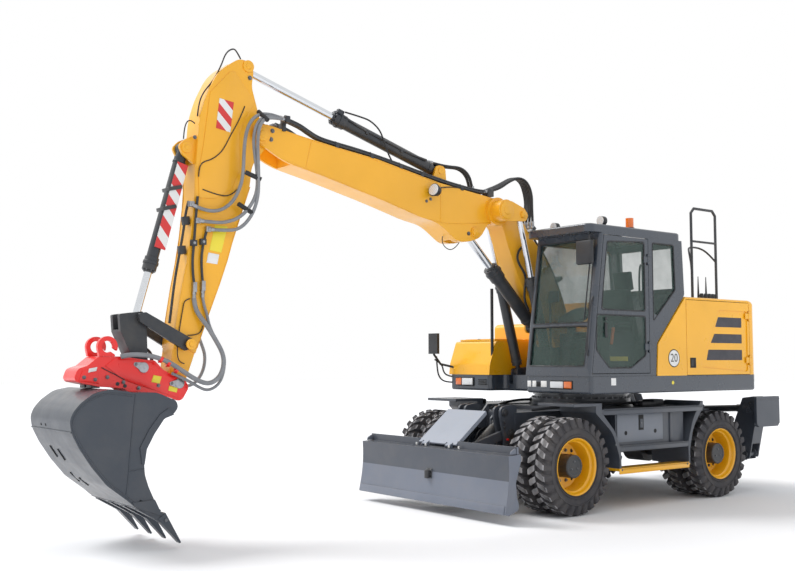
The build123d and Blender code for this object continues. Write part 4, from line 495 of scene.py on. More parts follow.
tyre = {
    "bead": 0.290, "carcass": 0.494, "half": 0.134, "profilePoints": 22,
    "wallRound": 0.55, "crownRound": 0.62, "beadHalf": 0.100, "wallRise": 1.8,
    "bands": ((0.330, 0.1255), (0.402, 0.1335)),  # raised rings on the wall: radius, distance out
    "bandShape": ((-0.006, -0.004), (-0.002, 0.0015), (0.003, 0.0015), (0.007, -0.004)),
    "lugCount": 27, "lugFlare": 0.008, "lugBevel": 0.0035, "paleSlope": 0.75,
    "lug": (  # out from the middle, tip radius, base radius, half width at the tip, slant along the tread
        (0.003, 0.5155, 0.468, 0.026, -0.036),
        (0.048, 0.5165, 0.468, 0.033, -0.013),
        (0.094, 0.5150, 0.460, 0.035, 0.010),
        (0.118, 0.5070, 0.438, 0.029, 0.018),
        (0.1335, 0.448, 0.405, 0.016, 0.022)),
}


def carcassOutline():
    # a rounded, square-shouldered section by formula, closed across the bead
    points = []
    for i in range(tyre["profilePoints"] + 1):
        turn = math.pi * i / tyre["profilePoints"]
        across = math.copysign(abs(math.cos(turn)) ** tyre["wallRound"], math.cos(turn))
        up = abs(math.sin(turn)) ** tyre["crownRound"]
        wide = tyre["beadHalf"] + (tyre["half"] - 0.003 - tyre["beadHalf"]) * min(1.0, up * tyre["wallRise"])
        points.append((tyre["bead"] + (tyre["carcass"] - tyre["bead"]) * up, across * wide))
    return points


def lugShape(side):
    # one tread bar, grown station by station from the middle to the shoulder
    def corners(tip, base, half, slant):
        flare = half + tyre["lugFlare"]
        return [(slant - half, tip), (slant + half, tip), (slant + flare, base), (slant - flare, base)]

    lug = bmesh.new()
    front = None
    for out, *section in tyre["lug"]:
        if front is None:
            front = lug.faces.new([lug.verts.new((x, side * out, z)) for x, z in corners(*section)])
            continue
        grown = bmesh.ops.extrude_face_region(lug, geom=[front])["geom"]
        front = [item for item in grown if isinstance(item, bmesh.types.BMFace)][0]
        for vert, (x, z) in zip(front.verts, corners(*section)):
            vert.co = (x, side * out, z)
    bmesh.ops.recalc_face_normals(lug, faces=lug.faces)
    bevelSharp(lug, tyre["lugBevel"], 1, 40)
    lug.normal_update()
    for face in lug.faces:
        face.material_index = 1 if face.normal.z > tyre["paleSlope"] else 0
    return lug


def tyreShape():
    whole = bmesh.new()
    addSpin(whole, carcassOutline(), (0, 0, 0), steps=96)
    for radius, out in tyre["bands"]:
        for side in (-1, 1):
            shape = [(radius + rise, out + step) for rise, step in tyre["bandShape"]]
            addSpin(whole, shape, (0, 0, 0), side, steps=96)
    for side in (-1, 1):
        lug = lugShape(side)
        for i in range(tyre["lugCount"]):
            angle = 2 * math.pi * (i + (0.5 if side > 0 else 0.0)) / tyre["lugCount"]
            verts = addMesh(whole, lug)
            bmesh.ops.rotate(whole, cent=(0, 0, 0), matrix=Matrix.Rotation(angle, 3, "Y"), verts=verts)
        lug.free()
    return whole


rim = {
    "outline": [  # radius, distance out from the machine's middle
        (0.118, 1.013), (0.222, 1.013), (0.243, 1.022), (0.252, 1.050), (0.256, 1.140), (0.262, 1.168),
        (0.273, 1.176), (0.280, 1.186), (0.283, 1.212), (0.290, 1.227), (0.298, 1.2335), (0.304, 1.230),
        (0.304, 1.223), (0.292, 1.221), (0.2885, 1.210), (0.2885, 1.012), (0.302, 1.003), (0.302, 0.995),
        (0.270, 0.985), (0.270, 0.930), (0.302, 0.921), (0.302, 0.913), (0.2885, 0.905), (0.2885, 0.690),
        (0.302, 0.684), (0.302, 0.676), (0.292, 0.674), (0.268, 0.690), (0.262, 0.893), (0.118, 0.893)],
    "hub": [  # radius, distance out from the hub's end
        (0.0, -0.004), (0.094, -0.004), (0.098, 0.0), (0.116, 0.0), (0.124, -0.008), (0.125, -0.080),
        (0.125, -0.395), (0.062, -0.395), (0.062, -0.10), (0.0, -0.10)],
    "hubOut": 1.195, "discOut": 1.012, "tyreTurn": 0.4,
    # count, first angle, circle
    "hubBolts": (3, 90, 0.052), "nuts": (10, 0, 0.168), "handHoles": (4, 45, 0.212),
}


def makeWheel(end, handed, tyreMesh):
    side = 1 if handed == "left" else -1
    low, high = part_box(f"tyres_{end}_{handed}")
    centre = (low + high) / 2
    body = f"wheel_{end}_{handed}"
    inner = max(abs(low.y), abs(high.y)) - tyre["half"]
    outer = min(abs(low.y), abs(high.y)) + tyre["half"]
    tyres = bmesh.new()
    for out in (inner, outer):
        verts = addMesh(tyres, tyreMesh)
        outward = math.pi if side < 0 else 0.0
        turn = Matrix.Rotation(rim["tyreTurn"] * out, 3, "Y") @ Matrix.Rotation(outward, 3, "Z")
        bmesh.ops.rotate(tyres, cent=(0, 0, 0), matrix=turn, verts=verts)
        bmesh.ops.translate(tyres, vec=(centre.x, side * out, centre.z), verts=verts)
    piece = finishPiece(tyres, f"twinTyres.{end}.{handed}", body, ["tyre", "lug"])
    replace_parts(piece, f"tyres_{end}_{handed}")

    def circle(ring, out):
        count, first, radius = ring
        turns = [math.radians(first + 360 * i / count) for i in range(count)]
        return [Vector((centre.x + radius * math.cos(turn), side * out, centre.z + radius * math.sin(turn)))
                for turn in turns]

    wheel = bmesh.new()
    middle = (centre.x, 0, centre.z)
    addSpin(wheel, rim["outline"], middle, side, steps=96)
    addSpin(wheel, [(radius, rim["hubOut"] + out) for radius, out in rim["hub"]], middle, side, steps=64,
            index=1)
    for place in circle(rim["hubBolts"], rim["hubOut"] - 0.005):
        addBolt(wheel, place, (0, side, 0), 0.009, 0.010, index=2)
    for place in circle(rim["nuts"], rim["discOut"]):
        addBolt(wheel, place, (0, side, 0), 0.014, 0.022, index=2)
    # black discs in the hand holes are painted shade
    for place in circle(rim["handHoles"], rim["discOut"] + 0.0005):
        addRod(wheel, place, place + Vector((0, side * 0.002, 0)), 0.022, segments=24, index=3)
    piece = finishPiece(wheel, f"rim.{end}.{handed}", body, ["yellow", "darkGrey", "bolt", "black"])
    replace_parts(piece, f"wheel_{end}_{handed}")


tyreMesh = tyreShape()
for end in ("front", "rear"):
    for handed in ("left", "right"):
        makeWheel(end, handed, tyreMesh)
tyreMesh.free()
print("wheels made")


def addTube(mesh, points, radius, index=0, order=3, around=3, fine=5, closed=False):
    # a hose or bent pipe, swept along a smooth line through given points
    curve = bpy.data.curves.new("run", "CURVE")
    curve.dimensions = "3D"
    curve.bevel_depth = radius
    curve.bevel_resolution = around
    curve.resolution_u = fine
    curve.use_fill_caps = not closed
    line = curve.splines.new("NURBS")
    line.points.add(len(points) - 1)
    for point, place in zip(line.points, points):
        point.co = (*place, 1.0)
    line.order_u = min(order, len(points))
    line.use_endpoint_u = not closed
    line.use_cyclic_u = closed
    holder = bpy.data.objects.new("run", curve)
    data = bpy.data.meshes.new_from_object(holder)
    part = bmesh.new()
    part.from_mesh(data)
    bmesh.ops.remove_doubles(part, verts=part.verts, dist=radius * 0.01)
    bmesh.ops.recalc_face_normals(part, faces=part.faces)
    bpy.data.objects.remove(holder)
    bpy.data.curves.remove(curve)
    bpy.data.meshes.remove(data)
    joinPart(mesh, part, index)


def addWelds(mesh, lines, half, radius, order=2, fine=2):
    # the same bead on both sides of the boom's plane
    for points in lines:
        for sign in (1, -1):
            addTube(mesh, inPlane(points, boom["plane"] + sign * half), radius, order=order, around=2,
                    fine=fine)


def inPlane(points, y):
    # (x, z) points set at one y, or (x, z, y) points as they are
    return [(p[0], p[2] if len(p) > 2 else y, p[1]) for p in points]


def addRing(mesh, centre, axis, circle, count, radius, height, index=0):
    # bolts in a circle round an axis
    centre, axis = Vector(centre), Vector(axis).normalized()
    side = axis.orthogonal().normalized()
    for i in range(count):
        spoke = Matrix.Rotation(2 * math.pi * i / count, 3, axis) @ side
        addBolt(mesh, centre + spoke * circle, axis, radius, height, index)


def addFerrule(mesh, start, end, radius, index):
    # crimped end of a hose with the hexagon nut before it
    start, end = Vector(start), Vector(end)
    middle = start.lerp(end, 0.6)
    addRod(mesh, start, middle, radius * 1.25, segments=20, bevel=radius * 0.1, index=index)
    addRod(mesh, middle, end, radius * 1.45, segments=6, bevel=radius * 0.12, index=index)


def addStripes(mesh, corners, middle, thick, bands, lean=38):
    # a flat sign across y with slanted bands of two finishes, cut from one plate
    part = bmesh.new()
    face = part.faces.new([part.verts.new((x, middle, z)) for x, z in corners])
    if face.normal.y < 0:
        bmesh.ops.reverse_faces(part, faces=[face])
    along = (Vector(corners[0]) - Vector(corners[3])).normalized()
    run = Matrix.Rotation(math.radians(lean), 2) @ along
    reach = sorted(Vector(corner).dot(run) for corner in corners)
    step = (reach[3] - reach[0]) / bands
    for i in range(1, bands):
        level = reach[0] + step * i
        bmesh.ops.bisect_plane(part, geom=part.verts[:] + part.edges[:] + part.faces[:],
                               plane_co=(run.x * level, middle, run.y * level), plane_no=(run.x, 0, run.y))
    for face in part.faces:
        place = face.calc_center_median()
        face.material_index = int((place.x * run.x + place.z * run.y - reach[0]) / step) % 2
    extrudeAcross(part, part.faces[:], thick)
    addMesh(mesh, part)
    part.free()


boom = {
    "plane": -0.120, "halfUpper": 0.162, "halfStick": 0.126,
    "pipeRadius": 0.0115, "pipeRows": (0.030, 0.004, -0.022), "pipeUpperRows": (0.017, -0.009),
    "pipeRoute": [(4.286, 4.050), (4.150, 4.020), (4.029, 3.960), (3.925, 3.918), (3.800, 3.894),
                  (3.400, 3.852), (2.906, 3.770), (2.281, 3.652), (1.892, 3.604), (1.676, 3.588),
                  (1.560, 3.596)],
    "pipeRise": 0.0245, "pipeEnds": (((1.640, 3.592), (1.585, 3.600)), ((4.330, 4.052), (4.280, 4.050))),
    "junction": (1.500, 1.590, 3.552, 3.640),
    "forkClamp": (((4.335, 0.030, 4.004), (4.385, 0.150, 4.074), 0.006),
                  ((4.330, -0.020, 3.935), (4.372, 0.060, 4.020), 0.005)), "forkBolt": (4.360, 0.090, 4.074),
    "pipeClamps": ((3.700, 3.884), (3.250, 3.829), (2.860, 3.762), (2.560, 3.706), (1.980, 3.616)),
    "greyRadius": 0.017,
    "greyHoses": [  # (x, z, y) from the boom's front clamp to the stick's side
        [(4.362, 4.056, 0.055), (4.476, 4.078, 0.075), (4.649, 4.063, 0.100), (4.750, 3.989, 0.110),
         (4.811, 3.868, 0.115), (4.833, 3.697, 0.110), (4.832, 3.447, 0.100), (4.856, 3.306, 0.085),
         (4.935, 3.148, 0.070), (5.081, 3.054, 0.060), (5.256, 3.066, 0.050), (5.345, 3.110, 0.035)],
        [(4.362, 4.046, 0.085), (4.493, 4.055, 0.100), (4.640, 4.028, 0.135), (4.724, 3.929, 0.150),
         (4.754, 3.798, 0.150), (4.737, 3.646, 0.145), (4.697, 3.456, 0.135), (4.690, 3.290, 0.125),
         (4.740, 3.148, 0.105), (4.857, 3.014, 0.090), (5.015, 2.954, 0.075), (5.155, 2.952, 0.060),
         (5.276, 2.958, 0.036)],
        [(4.362, 4.036, 0.115), (4.478, 4.037, 0.130), (4.633, 4.009, 0.165), (4.710, 3.911, 0.180),
         (4.724, 3.755, 0.180), (4.714, 3.588, 0.175), (4.692, 3.384, 0.155), (4.687, 3.205, 0.130),
         (4.738, 3.037, 0.105), (4.856, 2.903, 0.090), (5.008, 2.880, 0.065), (5.168, 2.885, 0.036)]],
    "greyStraps": (2, 6, 8),  # the route points that a strap goes round
    "strapHalf": 0.085, "strapRadius": 0.0235,
    "knuckleRadius": 0.0165,
    "knuckleRows": (0.030, -0.028, -0.086, -0.144, -0.202, -0.260),
    "knuckleRoute": [(1.600, 3.604), (1.500, 3.630), (1.360, 3.680), (1.240, 3.760), (1.080, 3.832),
                     (0.930, 3.800), (0.850, 3.660), (0.850, 3.480), (0.842, 3.340), (0.842, 3.250)],
    "rearSpan": (-0.285, 0.055),
    "rearClamps": ((0.842, 3.215, 52), (0.660, 3.005, 45), (0.395, 2.640, 30), (0.175, 2.100, 15)),
    "rearRoute": [(0.842, 3.250), (0.780, 3.125), (0.530, 2.875), (0.243, 2.365), (0.113, 1.860)],
    "seams": [[(2.457, 3.212), (2.269, 3.180), (1.900, 3.205), (1.522, 3.250)],
              [(2.300, 3.620), (2.300, 3.190)],
              [(4.019, 3.885), (4.086, 3.590)]],
    "flanges": [[(2.640, 3.240), (3.185, 3.384), (3.884, 3.546), (4.300, 3.634)],
                [(4.540, 3.972), (3.834, 3.866), (3.186, 3.790), (2.330, 3.630)]],
    "sideBolts": ((1.885, 3.093), (4.479, 3.923), (4.494, 3.835)),
    "pinCaps": ((1.785, 3.115, 0.178, 0.048), (4.600, 3.870, 0.182, 0.066)),  # x, z, distance out, radius
    "kneeCaps": ((1.455, 3.380, 0.350, 0.105), (1.195, 3.352, 0.364, 0.040)),
    "lowerHoses": [
        [(0.961, 3.034, 0.020), (1.090, 2.975, 0.058), (1.139, 2.877, 0.062), (1.112, 2.792, 0.062),
         (1.014, 2.689, 0.060), (0.990, 2.594, 0.060), (1.017, 2.473, 0.058), (1.010, 2.340, 0.050),
         (0.920, 2.240, 0.030)],
        [(0.800, 2.270, 0.020), (0.900, 2.130, 0.035), (0.880, 1.980, 0.035), (0.760, 1.870, 0.030),
         (0.640, 1.900, 0.015)]],
    "wire": [(2.154, 3.053), (2.175, 2.978), (2.058, 2.895), (1.942, 2.948), (1.891, 3.020)],
    "lamp": (2.454, 3.524), "lampRadius": 0.075, "lampBolts": ((0.050, -0.116), (-0.008, -0.088)),
    "lampCable": ((-0.045, 0.07, 0), (-0.10, 0.05, 0.035), (-0.15, 0.006, 0.055), (-0.34, 0.006, 0.085),
                  (-0.50, 0.004, 0.078)),
}


def makeBoomPipes():
    mesh = bmesh.new()
    route = boom["pipeRoute"]
    for side in (1, -1):
        rows = [boom["plane"] + side * (y - boom["plane"]) for y in boom["pipeRows"]]
        for y in rows:
            addTube(mesh, inPlane(route, y), boom["pipeRadius"])
            for (x0, z0), (x1, z1) in boom["pipeEnds"]:
                addFerrule(mesh, (x0, y, z0), (x1, y, z1), 0.0125, 1)
        for y in boom["pipeUpperRows"]:
            raised = [(x, z + boom["pipeRise"]) for x, z in route]
            addTube(mesh, inPlane(raised, boom["plane"] + side * (y - boom["plane"])), boom["pipeRadius"])
        low, high = min(rows) - 0.018, max(rows) + 0.018
        for x, z in boom["pipeClamps"]:
            addBox(mesh, (x - 0.022, low, z - 0.034), (x + 0.022, high, z + 0.014), 0.003, tilt=-9)
            addBolt(mesh, (x, (low + high) / 2, z + 0.030), (-0.16, 0, 1), 0.010, 0.012, index=1)
        # junction block near the knuckle
        x0, x1, z0, z1 = boom["junction"]
        addBox(mesh, (x0, low - 0.01, z0), (x1, high + 0.01, z1), 0.005)
    # clamp that carries the grey hoses over the fork
    for low, high, bevel in boom["forkClamp"]:
        addBox(mesh, low, high, bevel)
    addBolt(mesh, boom["forkBolt"], (0, 0, 1), 0.012, 0.014, index=1)
    finishPiece(mesh, "boomPipes", "upper_boom", ["darkGrey", "bolt"])


def makeGreyHoses():
    mesh = bmesh.new()
    routes = [[Vector(place) for place in inPlane(points, 0.0)] for points in boom["greyHoses"]]
    for route in routes:
        addTube(mesh, route, boom["greyRadius"], around=4)
        for place, beyond in ((route[0], route[1]), (route[-1], route[-2])):
            addFerrule(mesh, place + (beyond - place).normalized() * 0.06, place, boom["greyRadius"], 1)
    for k in boom["greyStraps"]:
        middle = sum((route[k] for route in routes), Vector()) / 3
        span = (routes[0][k] - routes[2][k]).normalized() * boom["strapHalf"]
        addRod(mesh, middle - span, middle + span, boom["strapRadius"], segments=12, bevel=0.004, index=2)
    finishPiece(mesh, "greyHoses", "upper_boom", ["wrap", "steel", "hose"],
                across=("stick", (4.45, 0.0, 4.05), (5.10, 0.0, 2.95)))


def makeKnuckleHoses():
    mesh = bmesh.new()
    for i, y in enumerate(boom["knuckleRows"]):
        # each hose swings a little wider than the one before
        back, rise = 0.035 * i, 0.012 * i
        route = [(x - back * (2 < k < 8) * (1.0 if k > 3 else 0.5), z + rise * (3 < k < 6))
                 for k, (x, z) in enumerate(boom["knuckleRoute"])]
        addTube(mesh, inPlane(route, y), boom["knuckleRadius"], around=4)
        (x0, z0), (x1, z1) = route[0], route[-1]
        addFerrule(mesh, (x1, y, z1 + 0.07), (x1, y, z1 - 0.02), boom["knuckleRadius"], 1)
        addFerrule(mesh, (x0 - 0.05, y, z0 + 0.014), (x0 + 0.02, y, z0), boom["knuckleRadius"], 1)
    finishPiece(mesh, "knuckleHoses", "upper_boom", ["hose", "steel"],
                across=("lower_boom", (1.55, 0.0, 3.62), (0.85, 0.0, 3.40)))
    mesh = bmesh.new()
    for y in boom["knuckleRows"][1:-1]:
        addTube(mesh, inPlane(boom["rearRoute"], y), 0.0125)
    low, high = boom["rearSpan"]
    for x, z, tilt in boom["rearClamps"]:
        addBox(mesh, (x - 0.045, low, z - 0.022), (x + 0.050, high, z + 0.022), tilt=tilt)
    finishPiece(mesh, "rearPipes", "lower_boom", ["darkGrey"])


def makeBoomTrim():
    mesh = bmesh.new()
    addWelds(mesh, boom["seams"], boom["halfUpper"], 0.0045)
    addWelds(mesh, boom["flanges"], boom["halfUpper"], 0.006)
    for sign in (1, -1):
        for x, z in boom["sideBolts"]:
            addBolt(mesh, (x, boom["plane"] + sign * boom["halfUpper"], z), (0, sign, 0), 0.017, 0.016, index=1)
        for x, z, out, radius in boom["pinCaps"]:
            addPinCap(mesh, x, z, boom["plane"] + sign * out, sign, radius, 0.01, 0.012, 0.018, share=0.55)
    finishPiece(mesh, "boomTrim", "upper_boom", ["boomYellow", "bolt"])
    mesh = bmesh.new()
    for x, z, out, radius in boom["kneeCaps"]:
        for sign in (1, -1):
            addPinCap(mesh, x, z, boom["plane"] + sign * out, sign, radius, 0.01, 0.010, 0.016, 56)
    finishPiece(mesh, "kneeTrim", "lower_boom", ["boomYellow"])


def makeBoomLamp():
    x, z = boom["lamp"]
    side = boom["plane"] + boom["halfUpper"]
    radius = boom["lampRadius"]
    mesh = bmesh.new()
    addRod(mesh, (x - 0.045, side + 0.085, z - 0.010), (x + 0.030, side + 0.100, z + 0.002), radius * 0.72,
           radius, segments=40, bevel=0.008)
    addRod(mesh, (x + 0.026, side + 0.0995, z + 0.001), (x + 0.036, side + 0.1015, z + 0.003), radius * 0.86,
           segments=40, bevel=0.003, index=1)
    addBox(mesh, (x - 0.055, side - 0.001, z - 0.030), (x - 0.020, side + 0.045, z + 0.030), 0.004, index=2)
    addTube(mesh, [(x + dx, side + out, z + dz) for dx, out, dz in boom["lampCable"]], 0.006, around=2)
    for dx, dz in boom["lampBolts"]:
        addBolt(mesh, (x + dx, side, z + dz), (0, 1, 0), 0.013, 0.012, index=3)
    finishPiece(mesh, "boomLamp", "upper_boom", ["plastic", "lampClear", "darkGrey", "bolt"])


def makeLowerBoomHoses():
    mesh = bmesh.new()
    for points in boom["lowerHoses"]:
        addTube(mesh, inPlane(points, 0.0), 0.014)
    finishPiece(mesh, "lowerBoomHoses", "lower_boom", ["hose"])
    mesh = bmesh.new()
    addTube(mesh, inPlane(boom["wire"], -0.1), 0.005)
    finishPiece(mesh, "boomWire", "upper_boom", ["hose"])


makeBoomPipes()
makeGreyHoses()
makeKnuckleHoses()
makeBoomTrim()
makeBoomLamp()
makeLowerBoomHoses()
print("boom dressed")


stick = {
    "side": 0.006,
    "panel": [(5.151, 4.213), (4.939, 4.452), (4.885, 4.455), (4.660, 4.190), (4.775, 4.005), (4.832, 3.855),
              (4.827, 3.489), (4.915, 3.290), (5.090, 3.190), (5.252, 3.180), (5.262, 3.410),
              (5.215, 3.690)],
    "sign": [(4.898, 4.151), (5.053, 4.169), (5.087, 3.873), (4.933, 3.850)],
    "pipes": [[(5.275, 3.188), (5.293, 2.976), (5.305, 2.760), (5.325, 2.515), (5.298, 2.357)],
              [(5.173, 2.884), (5.209, 2.766), (5.235, 2.562), (5.210, 2.374)]],
    "frontPipe": [(5.325, 3.150), (5.350, 3.060), (5.368, 2.900), (5.400, 2.700), (5.442, 2.470),
                  (5.468, 2.280), (5.487, 2.100), (5.500, 1.990)],
    "wires": [[(4.778, 4.131), (4.813, 4.039), (4.875, 3.917), (4.936, 3.810), (5.011, 3.660), (5.116, 3.564),
               (5.235, 3.522), (5.262, 3.437), (5.262, 3.381)],
              [(5.219, 3.263), (5.068, 3.224), (4.915, 3.225), (4.833, 3.318)]],
    "topWire": [(4.804, 4.607, -0.03), (4.850, 4.680, -0.03), (4.892, 4.700, -0.03), (4.969, 4.642, -0.03),
                (5.020, 4.497, -0.03), (5.099, 4.343, -0.03), (5.203, 4.213, -0.03), (5.250, 4.095, -0.03),
                (5.262, 3.969, -0.03)],
    "yellowPlate": [(4.944, 2.932), (5.081, 2.935), (5.138, 2.691), (5.009, 2.672)],
    "whitePlate": [(5.030, 2.655), (5.145, 2.668), (5.165, 2.570), (5.050, 2.560)],
    "pinCaps": ((4.739, 4.537, 0.126, 0.060), (5.365, 3.655, 0.083, 0.052), (5.347, 1.796, 0.200, 0.050)),
    "welds": [[(5.290, 3.500), (5.296, 3.342), (5.290, 3.213), (5.339, 2.704), (5.418, 2.280), (5.470, 1.920)],
              [(4.706, 3.340), (4.884, 2.817), (4.970, 2.514), (5.155, 2.026), (5.250, 1.760)]],
    "hoseEnds": ((5.345, 3.110), (5.276, 2.958), (5.168, 2.885)),
    "sideBolts": ((4.720, 4.425, 0.017, 0.016), (5.303, 3.754, 0.014, 0.014)),
    "pipeClamps": ((5.310, 2.745), (5.215, 2.762)), "frontClamps": ((5.365, 2.960), (5.400, 2.680)),
    "eyeWire": [(5.276, 3.899, -0.05), (5.328, 3.940, -0.05), (5.386, 3.870, -0.05), (5.392, 3.736, -0.05)],
    "greaseLines": [[(5.332, 2.222), (5.390, 2.207), (5.403, 2.127), (5.429, 1.980), (5.448, 1.808),
                     (5.455, 1.690), (5.423, 1.624), (5.380, 1.618)],
                    [(5.197, 1.972), (5.210, 1.905), (5.298, 1.880), (5.350, 1.880)]],
}


def makeStickTrim():
    y = stick["side"]
    mesh = bmesh.new()
    addPlate(mesh, stick["panel"], y + 0.002, 0.010)
    addPlate(mesh, stick["panel"], 2 * boom["plane"] - y - 0.002, 0.010)
    for sign in (1, -1):
        for x, z, out, radius in stick["pinCaps"]:
            addPinCap(mesh, x, z, boom["plane"] + sign * out, sign, radius, 0.004, 0.014, 0.022, 44,
                      rimSegments=32)
        face = boom["plane"] + sign * boom["halfStick"]
        for x, z, radius, height in stick["sideBolts"]:
            addBolt(mesh, (x, face, z), (0, sign, 0), radius, height, index=1)
    addWelds(mesh, stick["welds"], boom["halfStick"], 0.0050)
    finishPiece(mesh, "stickTrim", "stick", ["boomYellow", "bolt"])
    mesh = bmesh.new()
    addStripes(mesh, stick["sign"], y + 0.007, 0.003, 5)
    finishPiece(mesh, "stickSign", "stick", ["signRed", "white"])
    mesh = bmesh.new()
    addPlate(mesh, stick["yellowPlate"], y + 0.001, 0.003, 0.001)
    addPlate(mesh, stick["whitePlate"], y + 0.001, 0.003, 0.001, index=1)
    finishPiece(mesh, "stickPlates", "stick", ["labelYellow", "white"])


def makeStickLines():
    mesh = bmesh.new()
    for points in stick["pipes"]:
        addTube(mesh, inPlane(points, 0.028), 0.0125)
        x, z = points[-1]
        addBox(mesh, (x - 0.020, 0.006, z - 0.075), (x + 0.020, 0.052, z + 0.020), index=1)
        addFerrule(mesh, (x, 0.028, z - 0.140), (x, 0.028, z - 0.070), 0.015, 1)
    for x, z in stick["pipeClamps"]:
        addBox(mesh, (x - 0.030, 0.006, z - 0.028), (x + 0.030, 0.048, z + 0.028))
        addBolt(mesh, (x, 0.048, z), (0, 1, 0), 0.010, 0.010, index=1)
    addTube(mesh, inPlane(stick["frontPipe"], -0.060), 0.0125)
    for x, z in stick["frontClamps"]:
        addBox(mesh, (x - 0.045, -0.090, z - 0.040), (x + 0.020, -0.030, z + 0.040), 0.005, tilt=8)
    for x, z in stick["hoseEnds"]:
        addBox(mesh, (x - 0.030, 0.004, z - 0.026), (x + 0.022, 0.050, z + 0.026), 0.005, index=1)
    finishPiece(mesh, "stickPipes", "stick", ["darkGrey", "steel"])
    mesh = bmesh.new()
    for points in stick["wires"]:
        addTube(mesh, inPlane(points, 0.016), 0.0055, around=2)
    addTube(mesh, inPlane(stick["topWire"], 0.0), 0.0075, around=2)
    addTube(mesh, inPlane(stick["eyeWire"], 0.0), 0.006)
    for points in stick["greaseLines"]:
        addTube(mesh, inPlane(points, 0.016), 0.005, around=2)
    finishPiece(mesh, "stickWires", "stick", ["hose"])


toolHoses = [  # radius, (x, z, y) from the stick's side to the coupler
    (0.022, [(5.298, 2.225, 0.028), (5.290, 2.150, 0.030), (5.255, 2.070, 0.045), (5.185, 1.970, 0.08),
             (5.115, 1.837, 0.12), (5.050, 1.717, 0.14), (5.044, 1.611, 0.16), (5.085, 1.505, 0.17),
             (5.165, 1.440, 0.17), (5.242, 1.434, 0.15), (5.358, 1.494, 0.12), (5.496, 1.592, 0.085),
             (5.600, 1.651, 0.070), (5.762, 1.695, 0.075), (5.930, 1.701, 0.070), (6.010, 1.680, 0.050)]),
    (0.014, [(5.210, 2.240, 0.028), (5.195, 2.160, 0.030), (5.165, 2.080, 0.035), (5.150, 1.972, 0.05),
             (5.092, 1.831, 0.09), (5.039, 1.704, 0.12), (5.020, 1.597, 0.13), (5.061, 1.464, 0.14),
             (5.119, 1.399, 0.14), (5.202, 1.367, 0.13), (5.279, 1.401, 0.11), (5.381, 1.467, 0.085),
             (5.523, 1.530, 0.056)]),
    (0.016, [(5.180, 2.168, -0.268), (5.140, 2.000, -0.290), (5.050, 1.817, -0.31), (4.995, 1.692, -0.32),
             (5.016, 1.540, -0.32), (5.105, 1.417, -0.32), (5.240, 1.390, -0.31), (5.400, 1.480, -0.290)]),
]


def makeToolHoses():
    mesh = bmesh.new()
    for radius, points in toolHoses:
        addTube(mesh, inPlane(points, 0.0), radius, around=4)
    finishPiece(mesh, "toolHoses", "stick", ["wrap"],
                across=("bucket", (5.02, 0.0, 1.66), (5.50, 0.0, 1.58)))


cylinders = {  # rear eye, rod's eye, y, barrel's length, radius, head bolts
    "stick": ((2.230, 3.790), (4.739, 4.537), -0.120, 1.480, 0.066, 10),
    "bucket": ((5.365, 3.655), (5.808, 2.036), -0.120, 1.220, 0.056, 8),
    "adjust": ((0.700, 2.050), (1.785, 3.115), -0.120, 0.980, 0.078, 10),
    "liftLeft": ((0.690, 1.500), (1.195, 3.352), 0.145, 1.150, 0.060, 8),
    "liftRight": ((0.690, 1.500), (1.195, 3.352), -0.385, 1.150, 0.060, 8),
}
cylinderLines = {
    "feed": [(3.640, 4.262), (3.560, 4.225), (3.339, 4.128), (3.179, 4.080), (2.935, 4.010), (2.684, 3.935),
             (2.514, 3.905), (2.430, 3.890)],
    "wire": [(3.560, 4.262), (3.310, 4.238), (3.204, 4.206), (3.096, 4.128), (3.042, 4.003), (2.987, 3.880),
             (2.940, 3.815)],
    "hoses": [(2.330, 3.885), (2.190, 3.872), (2.051, 3.868), (1.868, 3.878), (1.750, 3.810), (1.705, 3.700),
              (1.690, 3.622)],
    "feedBlock": ((3.560, -0.075, 4.240), (3.640, -0.030, 4.285)),
    "feedClamps": ((3.250, 4.100), (2.780, 3.960)), "feedTilt": -16,
    "bucketClamps": ((5.470, 3.260), (5.524, 3.070)), "bucketTilt": 15,
    "liftPipeY": {"liftLeft": 0.190, "liftRight": -0.430},
    "lift": [(0.735, 1.760), (0.800, 1.800), (0.860, 2.000), (0.960, 2.380), (1.000, 2.520), (0.975, 2.560)],
}


guard = {  # two points on the barrel's axis, then the guard's own ends
    "points": ((5.385, 3.517), (5.609, 2.680), (5.392, 3.500), (5.612, 2.680)),
    "half": 0.055, "y": -0.056, "thick": 0.005, "bands": 9,
}


def addHead(mesh, name):
    # the bolted head of a barrel and the collar near its rear eye
    base, tip, y, length, radius, bolts = cylinders[name]
    base, tip = Vector((base[0], y, base[1])), Vector((tip[0], y, tip[1]))
    axis = (tip - base).normalized()
    end = base + axis * length
    addRod(mesh, end - axis * 0.085, end - axis * 0.055, radius * 1.30, segments=48, bevel=0.004)
    addRod(mesh, end - axis * 0.010, end + axis * 0.022, radius * 0.86, segments=48, bevel=0.005)
    addRing(mesh, end - axis * 0.002, axis, radius * 0.98, bolts, 0.008, 0.010, index=1)
    back = base + axis * 0.13
    addRod(mesh, back, back + axis * 0.020, radius * 1.10, segments=48, bevel=0.003)


